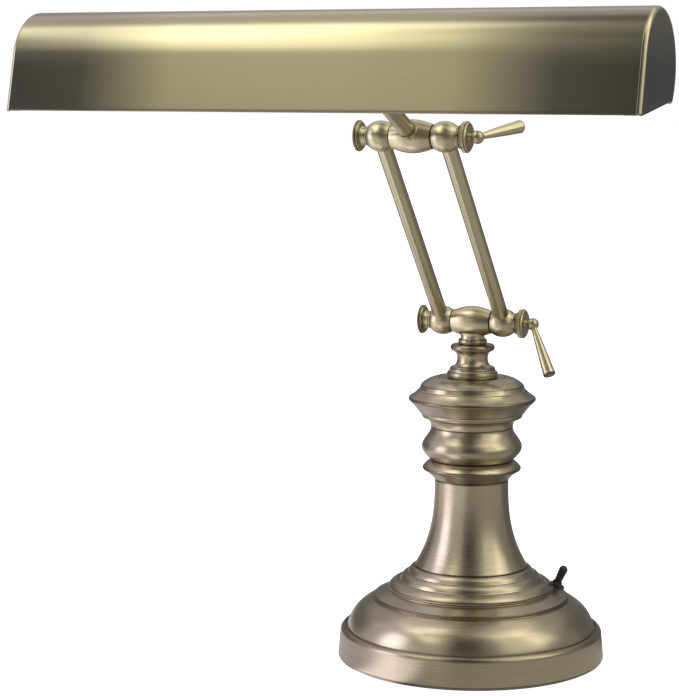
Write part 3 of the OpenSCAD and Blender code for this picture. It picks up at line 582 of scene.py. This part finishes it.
class LAMP_OT_base(bpy.types.Operator):
    """Builds the spun base and the cord outlet's bush."""
    bl_idname = "lamp.base"
    bl_label = "Base"

    def execute(self, context):
        c = sizes(context.scene.lamp_column)
        turned_piece("base_spinning", "base", "base_shell", base_outline(c), "turned_brass", budget=280,
                     segments=256, soft=c.edge_soft, closed=True)
        lowest, highest = low("cord_bushing"), high("cord_bushing")
        bore, flange, depth = 3.25, (highest[0] - lowest[0]) / 2, 4.9
        seat = np.array([0, c.base_r - 0.65, (highest[2] + lowest[2]) / 2])
        bush = line((0, 0.4), (bore, 0.4), (bore, 1.5), (bore + 0.4, 2.0), (flange - 0.8, 2.0), (flange, 0.8),
                    (flange - 1.2, 0.7), (flange - 1.2, -depth), (0, -depth))
        turned_piece("cord_outlet_bush", "base", "cord_bushing", bush, "black", seat, (0, 1, 0), 0.2, 60, 64)
        return {"FINISHED"}


class LAMP_OT_column(bpy.types.Operator):
    """Builds the flared column, disc, bulb ring, mushroom cap and spool neck."""
    bl_idname = "lamp.column"
    bl_label = "Column"

    def execute(self, context):
        c = sizes(context.scene.lamp_column)
        bore = 6.0

        def column_piece(name, node, budget, *stretches):
            turned_piece(name, "base", node, joined(*stretches), "turned_brass", closed=True, soft=c.edge_soft,
                         budget=budget, segments=192)

        z0, z1 = low("flare_column")[2], high("flare_column")[2]
        t = np.linspace(0, 1, 60)
        flare = np.stack([c.top_r + (c.foot_r - c.top_r) * (1 - t) ** 2.75, z0 + (z1 - z0) * t], 1)
        column_piece(
            "flared_column", "flare_column", 110,
            line((bore, z0), (c.foot_r - 0.6, z0)), flare, line((bore, z1)))
        z0, z1 = z1, high("column_disc")[2]
        edge, h = high("column_disc")[0] - 0.5, z1 - z0
        column_piece(
            "disc_ring", "column_disc", 110,
            line((bore, z0)), bow((c.top_r + 0.2, z0), (edge, z0 + h * 0.49), -0.5),
            bow((edge, z0 + h * 0.49), (edge, z0 + h * 0.68), 0.5),
            bow((edge, z0 + h * 0.68), (c.waist_r, z1), 0.4), line((bore, z1)))
        z0, z1 = z1, high("column_bulb")[2]
        belly = (high("column_bulb")[0], z0 + 0.41 * (z1 - z0))
        column_piece(
            "bulb_ring", "column_bulb", 110,
            line((bore, z0), (c.waist_r - 0.5, z0)), swell((c.waist_r, z0 + 0.3), belly),
            ogee(belly, (c.waist_r, z1)), line((bore, z1)))
        z0, z1 = z1, high("column_cap")[2]
        foot_r = high("spool_neck")[0]
        bell, rim, shoulder = z0 + 9.3, z0 + 17.2, z1 - 5
        r = high("column_cap")[0]
        column_piece(
            "mushroom_cap", "column_cap", 220,
            line((bore, z0), (c.waist_r - 0.5, z0)),
            hollow((c.waist_r, z0), (c.shoulder_r - 1.1, bell - 3.1)),
            bow((c.shoulder_r - 1, bell - 3), (c.shoulder_r - 0.4, bell - 0.4), 0.3),
            bow((c.shoulder_r + 0.8, bell), (r - 0.4, rim - 0.3), -0.3),
            bow((r - 0.4, rim - 0.2), (r - 0.5, rim + 1.8), 0.4),
            bow((r - 0.8, rim + 2), (c.shoulder_r + 1.7, shoulder - 3.3), -0.3),
            line((c.shoulder_r + 1.0, shoulder - 3.0)),
            bow((c.shoulder_r, shoulder), (foot_r + 5.1, z1), 1.1),
            line((foot_r + 4.8, z1), (foot_r + 4.5, z1 - 0.6), (bore, z1 - 0.6)))
        z0, z1 = z1, high("spool_neck")[2]
        waist, top = 9.7, 14.0
        column_piece(
            "spool", "spool_neck", 160,
            line((bore, z0 - 0.6), (foot_r - 0.6, z0 - 0.6)),
            bow((foot_r - 0.3, z0 - 0.3), (foot_r - 0.5, z0 + 3.6), 0.5),
            line((foot_r - 1.7, z0 + 3.7)),
            bow((foot_r - 1.7, z0 + 4.1), (foot_r - 2.2, z0 + 6.2), 0.3),
            line((foot_r - 3.0, z0 + 6.2)),
            roll((foot_r - 2.8, z0 + 6.5), (waist, z0 + 11.4)),
            hollow((waist, z1 - 8.8), (top - 1.6, z1 - 4.3)),
            bow((top - 1.2, z1 - 4.1), (top - 1, z1 - 0.1), 1.1), line((top - 1.4, z1), (bore, z1)))
        return {"FINISHED"}


# ------ knuckles ------


def knurl(k):
    """Saw-tooth ripple of the knurled collar: deep between teeth, fading out at the collar's faces."""
    swing, sink, fade = 0.42, 0.4, 0.4

    def ripple(turn, points):
        tooth = np.abs(((turn * k.teeth / (2 * np.pi)) % 1) * 2 - 1) * 2 - 1
        on = np.clip((points[:, 0] - (k.flange_r - 0.75)) / fade, 0, 1)
        return on[:, None] * (swing * tooth[None, :] - sink)
    return ripple


def build_knuckle(k, place, centre, barrel_body, screw_body, lever_turn):
    """The turned pieces of one knuckle, all round an X axis through its centre.

    The barrel's radius is a half wave of the cosine along its length, and an eye is an arc of a circle wider
    than its own radius. The lever leans out from the axis and is turned about it from upright, in degrees."""
    def knuckle_piece(name, node, outline, body="arms", side=1, budget=80, soft=0.25, segments=96, ripple=None):
        turned_piece(place + "_" + name, body, place + "_" + node, outline, "small_brass", centre,
                     (side, 0, 0), soft, budget, segments, ripple=ripple)

    gap, end = 0.2, k.eye_end_x
    x = np.linspace(-k.barrel_half, k.barrel_half, 48)
    rise = (k.barrel_r - k.barrel_end_r) * np.cos(np.pi / 2 * x / k.barrel_half)
    barrel = np.stack([k.barrel_end_r + rise, x], 1)
    knuckle_piece("barrel_body", "barrel", joined(line((0, x[0])), barrel, line((0, x[-1]))), barrel_body)
    x0 = k.barrel_half + gap
    wide = 1.2 * k.eye_r
    middle = (x0 + end) / 2 - 0.1 * k.eye_r
    a = np.linspace(-math.asin((middle - x0) / wide), math.acos(1 - (k.eye_r - k.eye_end_r) / wide), 36)
    ball = np.stack([k.eye_r - wide * (1 - np.cos(a)), middle + wide * np.sin(a)], 1)
    eye = joined(line((0, x0)), ball, line((k.eye_end_r, end), (0, end)))
    for side, word in ((-1, "left"), (1, "right")):
        knuckle_piece("eye_ball_" + word, "eye_" + word, eye, side=side)
    face = end + 4.2
    nut = joined(
        line((0, end), (k.eye_end_r - 0.2, end), (k.eye_end_r - 0.5, end + 1.8)),
        roll((k.eye_end_r, end + 2.8), (k.flange_r - 1, face - 0.2)),
        bow((k.flange_r - 0.4, face), (k.flange_r - 0.4, face + 1.8), 0.4),
        line((k.flange_r - 2.2, face + 2.1), (k.flange_r - 2.6, face + 1.6)),
        bow((k.flange_r - 2.8, face + 1.5), (0, face + 1.7), 0.1))
    nut[-1, 0] = 0
    knuckle_piece("flanged_nut", "cap_nut", nut, side=-1, budget=100)
    ring_end = end + 2.3
    ring = joined(line((0, end)), bow((k.eye_end_r + 0.6, end), (k.eye_end_r + 0.6, ring_end), 0.6),
                           line((0, ring_end)))
    knuckle_piece("plain_ring", "ring", ring, budget=40)
    c0 = ring_end + gap
    collar = line((0, c0), (k.flange_r - 1.4, c0), (k.flange_r - 0.3, c0 + 0.5), (k.flange_r, c0 + 0.7),
                  (k.flange_r, c0 + 3.0), (k.flange_r - 0.4, c0 + 3.3), (k.flange_r - 1.6, c0 + 4.2),
                  (0, c0 + 4.2))
    knuckle_piece("knurled_rim", "knurled_collar", collar, screw_body, budget=70, soft=0.2,
                  segments=8 * k.teeth, ripple=knurl(k))
    ball_x, neck_r, neck_x = high("lower_clamp_screw")[0] - k.ball_r, 2.2, c0 + 3.2
    a = np.linspace(-1, 1, 40) * np.pi / 2
    a = a[a > -np.pi / 2 + math.asin(neck_r / k.ball_r)]
    neck = joined(line((0, neck_x)), bow((3.0, neck_x), (neck_r, ball_x - 3.2), -0.3),
                           np.stack([k.ball_r * np.cos(a), ball_x + k.ball_r * np.sin(a)], 1))
    neck[-1, 0] = 0
    knuckle_piece("screw_ball", "clamp_screw", neck, screw_body, soft=0.2, segments=64)
    turn = math.radians(lever_turn)
    across = math.sin(k.lever_lean)
    n = k.lever_len
    lever = joined(
        line((0, 2.4), (1.9, 2.4)), bow((1.9, 4.7), (3.8, n - 1.6), 0.15), bow((3.9, n - 1.4), (3.1, n), 0.3),
        line((0, n + 0.3)))
    turned_piece(place + "_tapered_lever", screw_body, place + "_lever", lever, "small_brass",
                 np.array(centre) + (ball_x, 0, 0),
                 (math.cos(k.lever_lean), -across * math.sin(turn), across * math.cos(turn)), 0.35, 70, 64)


class LAMP_OT_knuckles(bpy.types.Operator):
    """Builds both clamp knuckles with their levers, and the swivel's stub."""
    bl_idname = "lamp.knuckles"
    bl_label = "Knuckles"

    def execute(self, context):
        k = sizes(context.scene.lamp_knuckle)
        lower, upper = joint_facts("lower_knuckle")[0], joint_facts("upper_knuckle")[0]
        build_knuckle(k, "lower", lower, "head", "lower_clamp", lever_turn=158)
        build_knuckle(k, "upper", upper, "shade", "upper_clamp", lever_turn=-80)
        z0 = low("lower_barrel")[2]
        top = lower[2] - 6.4
        stub = joined(
            line((0, z0), (8.6, z0)), bow((8.7, z0 + 0.2), (8.7, z0 + 3.2), 0.4),
            line((7.7, z0 + 3.5), (7.5, lower[2] - 9.0)), hollow((7.5, lower[2] - 8.6), (8.8, top)),
            line((0, top)))
        turned_piece("swivel_stub", "head", "lower_barrel", stub, "small_brass", soft=0.25, budget=70,
                     segments=96)
        return {"FINISHED"}


def tube_wall(outer, bore, start, end):
    """The section of a tube's wall, from start to end along its axis."""
    return line((outer, start), (outer, end), (bore, end), (bore, start))


class LAMP_OT_tubes(bpy.types.Operator):
    """Builds the two arm tubes and the shade's tube with its root."""
    bl_idname = "lamp.tubes"
    bl_label = "Tubes"

    def execute(self, context):
        lower, upper = joint_facts("lower_knuckle")[0], joint_facts("upper_knuckle")[0]
        reach = upper - lower
        inset = 5.0
        tube = tube_wall(4.75, 3.3, inset, np.linalg.norm(reach) - inset)
        for word in ("left", "right"):
            x = (low("arm_tube_" + word)[0] + high("arm_tube_" + word)[0]) / 2
            turned_piece("arm_rod_" + word, "arms", "arm_tube_" + word, tube, "small_brass", lower + (x, 0, 0),
                         reach, 0.2, 60, 72, closed=True)
        rise = math.radians(24.5)
        along = np.array([0, -math.cos(rise), math.sin(rise)])
        end = (upper[1] - low("shade_tube")[1]) / math.cos(rise) - 2.2
        turned_piece("shade_rod", "shade", "shade_tube", tube_wall(4.8, 3.4, 4.0, end), "small_brass", upper,
                     along, 0.2, 60, 72, closed=True)
        root = joined(line((0, 3.0)), bow((7.6, 5.0), (5.7, 12.2), -0.7), line((4.6, 12.4), (0, 12.4)))
        turned_piece("tube_root", "shade", "upper_barrel", root, "small_brass", upper, along, 0.25, 60, 72)
        return {"FINISHED"}


# ------ shade ------


def shade_frame(s):
    """Centre of the round part in Y and Z, and the angle where the skirt leaves it."""
    y = low("shade_shell")[1] + s.skirt_front
    z = high("shade_shell")[2] - s.radius
    leaves = math.pi + math.atan(s.skirt_drop / s.skirt_front) - math.acos(
        s.radius / math.hypot(s.skirt_front, s.skirt_drop))
    return np.array([y, z]), leaves


def skirt_ways(leaves):
    """Directions out of the skirt and down along it."""
    return np.array([math.cos(leaves), math.sin(leaves)]), np.array([-math.sin(leaves), math.cos(leaves)])


def shade_path(s, inset):
    """Outer line of the section from the back edge over the top to the skirt's foot, drawn in by an inset."""
    round_points, skirt_points = 160, 30
    _, leaves = shade_frame(s)
    out, down = skirt_ways(leaves)
    a = np.linspace(-math.asin(s.back_drop / s.radius), leaves, round_points)
    r = s.radius - inset
    skirt = math.sqrt(s.skirt_front ** 2 + s.skirt_drop ** 2 - s.radius ** 2)
    t = np.linspace(0, skirt, skirt_points)[1:, None]
    return joined(np.stack([r * np.cos(a), r * np.sin(a)], 1), r * out + t * down)


class LAMP_OT_shade(bpy.types.Operator):
    """Builds the trough shade's sheet and its two rounded end caps."""
    bl_idname = "lamp.shade"
    bl_label = "Shade"

    def execute(self, context):
        s = sizes(context.scene.lamp_shade)
        centre, leaves = shade_frame(s)
        half = high("shade_shell")[0]
        # the sheet: outer line, rolled hem at the skirt, inner line back, rolled hem at the back
        outer, inner = shade_path(s, 0.0), shade_path(s, s.wall)
        out, down = skirt_ways(leaves)
        hem = arc(outer[-1] - (out + down) * s.hem_r, s.hem_r, leaves, leaves + math.pi * 1.5)
        back_a = -math.asin(s.back_drop / s.radius) + s.hem_r / s.radius
        back_c = (s.radius - s.hem_r) * np.array([math.cos(back_a), math.sin(back_a)])
        back_hem = arc(back_c, s.hem_r, back_a - math.pi * 1.5, back_a)
        loop = joined(outer[6:-3], hem, inner[::-1][6:-6], back_hem)
        points, run, bend = softened(loop, 0.25, 320, True)
        x = np.linspace(-half, half, 25)
        place = np.zeros((len(points), len(x), 3))
        place[..., 0] = x
        place[..., 1:] = (points + centre)[:, None, :]
        grid_piece("shade_sheet", "shade", "shade_shell", place, run * MM, x * MM, np.clip(-bend * 0.3, -1, 1),
                   True, False, "sheet_brass")
        for side, word in ((-1, "left"), (1, "right")):
            self.end_cap(s, centre, side, half, "shade_end_" + word, "shade_cap_" + word)
        return {"FINISHED"}

    def end_cap(self, s, centre, side, start, name, node):
        """One end: rows run over the rounded edge and then in to the open line, columns along the section."""
        crown, rounded = 80, slice(3, 11)  # a column over the top, and the rows of the rounded edge
        path = shade_path(s, 0.0)
        r, end = s.cap_round, high("shade_cap_right")[0]
        turn = np.linspace(0, math.pi / 2, 10)
        rows = [(s.wall + 0.05, start - 6.0), (s.wall + 0.05, start - 0.01), (0.0, start)]
        rows += [(r * (1 - math.cos(t)), start + r * math.sin(t)) for t in turn[1:]]
        edge = [np.column_stack([np.full(len(path), x), shade_path(s, inset)]) for inset, x in rows]
        flat = shade_path(s, r)
        open_line = flat[0] + (flat[-1] - flat[0]) * np.linspace(0, 1, len(flat))[:, None]
        for w in np.linspace(0, 1, 14)[1:]:
            edge.append(np.column_stack([np.full(len(path), end), flat + (open_line - flat) * w]))
        place = np.array(edge)
        place[..., 0] *= side
        place[..., 1:] += centre
        wear = np.zeros(len(place))
        wear[rounded] = 0.5
        run, lay = run_of(place[:, crown]) * MM, run_of(path) * MM
        piece = grid_piece(name, "shade", node, place, run, lay, wear, False, False, "sheet_brass")
        thick = piece.modifiers.new("sheet", "SOLIDIFY")
        thick.thickness, thick.offset = s.wall * MM, -1


# ------ switch ------


class LAMP_OT_switch(bpy.types.Operator):
    """Builds the toggle and its dress nut."""
    bl_idname = "lamp.switch"
    bl_label = "Switch"

    def execute(self, context):
        pivot, swing = joint_facts("switch_throw")
        radial = np.array([pivot[0], pivot[1], 0]) / np.hypot(pivot[0], pivot[1])
        side = np.cross([0, 0, 1.0], radial)
        up = np.cross(swing, side)
        flat, bush, drop = 4.75, 3.2, 2.8
        nut = line((bush, -0.2), (flat, -0.2), (flat, 1.5), (flat - 0.4, 2.0), (bush + 0.4, 2.0), (bush, 1.7))

        def hexagon(turn, points):
            """Six flats, the first one facing in: the radius grows to each corner, less on the bevelled top."""
            growth = 1 / np.cos((turn + np.pi / 6) % (np.pi / 3) - np.pi / 6) - 1
            on = np.clip((points[:, 0] - bush - 0.3) / 1.0, 0, 1) * np.clip((2.1 - points[:, 1]) / 0.6, 0.3, 1)
            return on[:, None] * flat * growth[None, :]

        turned_piece("dress_nut", "base", "switch_nut", nut, "black", pivot - up * drop, up, 0.2, 50, 96,
                     closed=True, ripple=hexagon, facing=swing)
        tilt = math.radians(13)  # half of the throw
        root, tip, end = 2.4, 2.8, 9.1
        toggle = joined(line((0, -0.7), (root * 0.8, -0.7), (root, 0), (root, 2.2)),
                                 arc((0, end), tip, math.radians(-8), math.pi / 2))
        toggle[-1, 0] = 0
        turned_piece("toggle_bat", "toggle", "switch_toggle", toggle, "black", pivot,
                     up * math.cos(tilt) - side * math.sin(tilt), 0.3, 60, 64)
        return {"FINISHED"}


# ------ stage ------


def not_diffuse(tree):
    """1 for camera, glossy and transmission rays, 0 for all others."""
    path = add(tree, "ShaderNodeLightPath")
    total = path.outputs["Is Camera Ray"]
    for ray in ("Is Glossy Ray", "Is Transmission Ray"):
        total = calculate(tree, "MAXIMUM", total, path.outputs[ray])
    return total


def soft_lamp(name, place, width, height, power):
    """A rectangular studio lamp that faces the piano lamp, and that gloss does not show."""
    lamp = bpy.data.lights.new(name, "AREA")
    lamp.shape, lamp.size, lamp.size_y, lamp.energy = "RECTANGLE", width, height, power
    thing = show(name, lamp)
    u, _, w = frame_of(np.array(place) - LAMP_AIM, (0, 0, 1))
    turned = Matrix(np.stack([np.cross(u, w), u, w], 1).tolist()).to_4x4()
    thing.matrix_world = Matrix.Translation(place) @ turned
    thing.visible_glossy = False


def bump_of(x, a, b, soft):
    """1 between a and b, falling to 0 over the soft distance outside them, as a smooth step."""
    t = np.clip(np.minimum(x - a, b - x) / soft + 1, 0, 1)
    return t * t * (3 - 2 * t)


CARDS = (
    # azimuth from the player's side towards -X, elevation, softness, all in degrees; then strength and tint
    ((40, 66), (53, 69), 12, 2.6, (1, 0.98, 0.88)),
    ((25, 36), (42, 56), 12, 1.8, (1, 0.98, 0.82)),
    ((12, 26), (30, 48), 12, 0.6, (1, 0.97, 0.78)),
    ((50, 65), (-7, 28), 9, 2.6, (0.92, 0.90, 1.10)),
    ((66, 92), (-7, 50), 12, 0.45, (1, 0.90, 1.08)),
    ((8, 45), (-7, 17), 9, 0.45, (1, 0.96, 0.90)),
    ((-106, -88), (22, 60), 9, 1.25, (1.03, 1, 0.84)),
    ((-90, -56), (14, 60), 10, 0.8, (1.03, 1, 0.84)),
    ((-130, -40), (-7, 60), 12, 0.16, (1, 0.98, 0.86)),
    ((-178, -35), (56, 76), 8, 0.7, (1, 0.98, 0.88)),
    ((-30, 62), (66, 78), 8, 0.3, (1, 0.98, 0.88)),
    ((70, 178), (50, 74), 8, 0.6, (1, 0.94, 0.98)),
    ((95, 178), (24, 50), 12, 0.3, (1, 0.90, 1.06)),
    ((-178, -125), (34, 58), 12, 0.3, (1, 0.98, 0.90)),
    ((-24, -6), (16, 58), 8, -0.12, (1, 1, 1)),
)
FLOOR_CARDS = (
    # azimuth in degrees, distance from the lamp's axis in millimetres, softness in degrees; strength and tint
    ((-115, -5), (0, 1300), 20, 0.30, (1, 0.96, 0.86)),
    ((18, 36), (0, 230), 10, 1.6, (0.95, 0.90, 1.05)),
    ((45, 115), (0, 330), 15, 0.45, (1, 0.90, 1.08)),
    ((5, 95), (300, 1300), 15, 0.60, (1, 0.97, 0.92)),
    ((44, 66), (380, 1300), 10, 0.9, (0.94, 0.90, 1.08)),
    ((120, 178), (150, 1300), 15, 0.35, (1, 0.95, 0.98)),
)
ROOM, DARKEST = 0.18, 0.02


def card_glow(first, second, cards, stretch):
    """The sum of soft windows in two coordinates over the dim room, as a colour.

    A window's softness is stretched in the second coordinate, and one of strength below 0 dims the room."""
    glow = np.full(first.shape + (3,), ROOM)
    for (a0, a1), (b0, b1), soft, strength, tint in cards:
        hit = bump_of(first, a0, a1, soft) * bump_of(second, b0, b1, soft * stretch)
        glow += strength * hit[..., None] * np.array(tint)
    return np.concatenate([np.maximum(glow, DARKEST), np.ones(first.shape + (1,))], -1)


def studio_cards():
    """Studio cards round the lamp, which only its gloss can see: half a ball, and a round one on the floor.

    Each direction of the half ball, and each place of the floor card, glows by the sum of its windows."""
    radius, middle, floor_gap = 1250.0, np.array([0.0, 0.0, 150.0]), 0.3
    turn = np.radians(np.linspace(-180, 180, 241))[:-1]
    a, e = np.meshgrid(turn, np.radians(np.linspace(-7, 90, 98)))
    way = np.stack([-np.sin(a) * np.cos(e), -np.cos(a) * np.cos(e), np.sin(e)], -1)
    card("ball_card", middle + radius * way, card_glow(np.degrees(a), np.degrees(e), CARDS, 1))
    a, r = np.meshgrid(turn, np.linspace(5, radius, 120))
    place = np.stack([-np.sin(a) * r, -np.cos(a) * r, np.full(a.shape, floor_gap)], -1)
    card("floor_card", place, card_glow(np.degrees(a), r, FLOOR_CARDS, 8))


def card(name, points, glow):
    """One glowing card from a grid of points and a grid of colours."""
    mesh, _, _ = grid_mesh(name, points, False, True)
    keep(mesh, "glow", "FLOAT_COLOR", "color", glow)
    shell = show(name, mesh)
    shell.visible_camera = shell.visible_diffuse = shell.visible_transmission = shell.visible_shadow = False
    material, shader = fresh("card_glow")
    if shader is not None:
        tree = material.node_tree
        tree.nodes.remove(shader)
        light = add(tree, "ShaderNodeEmission", Strength=1.0)
        kept = add(tree, "ShaderNodeAttribute", attribute_name="glow")
        feed(tree, kept.outputs["Color"], light.inputs["Color"])
        feed(tree, light.outputs[0], tree.nodes["Material Output"].inputs["Surface"])
    mesh.materials.append(material)


def pale_floor():
    """The floor: white to the camera and in gloss, with the lamp's soft shadow kept in it.

    Its glow rises from just under white near the lamp, where the lamps' light makes up the rest, to white
    further out, and it gives no light to the lamp's matt pieces."""
    reach, near, far, near_share = 9, 0.3, 0.9, 0.88
    mesh = bpy.data.meshes.new("floor")
    mesh.from_pydata([(-reach, -reach, 0), (reach, -reach, 0), (reach, reach, 0), (-reach, reach, 0)], [],
                     [(0, 1, 2, 3)])
    floor = show("floor", mesh)
    material, shader = fresh("pale_floor")
    tree = material.node_tree
    matt = add(tree, "ShaderNodeBsdfDiffuse", Color=(0.8, 0.8, 0.8, 1))
    tree.nodes.remove(shader)
    place = add(tree, "ShaderNodeTexCoord").outputs["Object"]
    away = add(tree, "ShaderNodeVectorMath", operation="LENGTH")
    feed(tree, place, away.inputs[0])
    level = spread(tree, away.outputs["Value"], near, far, near_share, 1.0)
    glow = add(tree, "ShaderNodeEmission")
    feed(tree, calculate(tree, "MULTIPLY", level, not_diffuse(tree)), glow.inputs["Strength"])
    both = add(tree, "ShaderNodeAddShader")
    feed(tree, glow.outputs[0], both.inputs[0])
    feed(tree, matt.outputs[0], both.inputs[1])
    feed(tree, both.outputs[0], tree.nodes["Material Output"].inputs["Surface"])
    mesh.materials.append(material)


PHOTO_WIDTH, FOCAL_LENGTH, SENSOR = 679, 2183.36, 36.0  # pixels, pixels, millimetres
CAMERA_PLACE, CAMERA_DIP, CAMERA_TURN = (0.45963, -1.28808, 0.37121), 7.211, 23.154  # metres, degrees, degrees
WORLD_LEVEL = 0.55
LAMP_AIM = (0, -0.1, 0.2)
LAMPS = (
    # name, place, width and height in metres, power in watts
    ("key", (-0.9, -1.5, 1.5), 1.0, 0.8, 14),
    ("side", (1.6, -0.6, 0.9), 0.6, 1.2, 6),
    ("top", (0, 0.4, 2.0), 1.4, 1.2, 9),
)


class LAMP_OT_stage(bpy.types.Operator):
    """Builds the pale floor, the studio's cards and lamps, and the camera."""
    bl_idname = "lamp.stage"
    bl_label = "Stage"

    def execute(self, context):
        scene = context.scene
        scene.view_settings.view_transform = "Standard"
        pale_floor()
        studio_cards()
        world = bpy.data.worlds.new("studio")
        scene.world = world
        world.use_nodes = True
        tree = world.node_tree
        back = tree.nodes["Background"]
        feed(tree, spread(tree, not_diffuse(tree), 0, 1, WORLD_LEVEL, 1.0), back.inputs["Strength"])
        back.inputs["Color"].default_value = (1, 1, 1, 1)
        for name, place, width, height, power in LAMPS:
            soft_lamp(name, place, width, height, power)

        view = bpy.data.cameras.new("camera")
        view.sensor_fit, view.sensor_width = "HORIZONTAL", SENSOR
        view.lens = SENSOR * FOCAL_LENGTH / PHOTO_WIDTH
        camera = show("camera", view)
        camera.location = CAMERA_PLACE
        camera.rotation_euler = (math.radians(90 - CAMERA_DIP), 0, math.radians(CAMERA_TURN))
        scene.camera = camera
        return {"FINISHED"}


class LAMP_PT_panel(bpy.types.Panel):
    """Lists the lamp's build steps and sizes."""
    bl_idname = "LAMP_PT_panel"
    bl_label = "Piano lamp"
    bl_space_type = "VIEW_3D"
    bl_region_type = "UI"
    bl_category = "Piano lamp"

    def draw(self, context):
        for step in STEPS:
            self.layout.operator(step.bl_idname)
        for group, kind in GROUPS.items():
            for name in kind.__annotations__:
                self.layout.prop(getattr(context.scene, group), name)


STEPS = (LAMP_OT_finishes, LAMP_OT_base, LAMP_OT_column, LAMP_OT_knuckles, LAMP_OT_tubes, LAMP_OT_shade,
         LAMP_OT_switch, LAMP_OT_stage)
GROUPS = {"lamp_column": LAMP_PG_column, "lamp_knuckle": LAMP_PG_knuckle, "lamp_shade": LAMP_PG_shade,
          "lamp_finish": LAMP_PG_finish}


def register():
    """Registers the groups, steps and panel."""
    for name, group in GROUPS.items():
        bpy.utils.register_class(group)
        setattr(bpy.types.Scene, name, bpy.props.PointerProperty(type=group))
    for step in (*STEPS, LAMP_PT_panel):
        bpy.utils.register_class(step)


def unregister():
    """Takes everything out again."""
    for step in (LAMP_PT_panel, *reversed(STEPS)):
        bpy.utils.unregister_class(step)
    for name, group in GROUPS.items():
        delattr(bpy.types.Scene, name)
        bpy.utils.unregister_class(group)


def main():
    """Builds the whole lamp: registers the panel and runs each step in turn."""
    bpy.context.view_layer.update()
    register()
    for step in STEPS:
        group, name = step.bl_idname.split(".")
        getattr(getattr(bpy.ops, group), name)()
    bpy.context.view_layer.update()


if __name__ == "__main__":
    main()
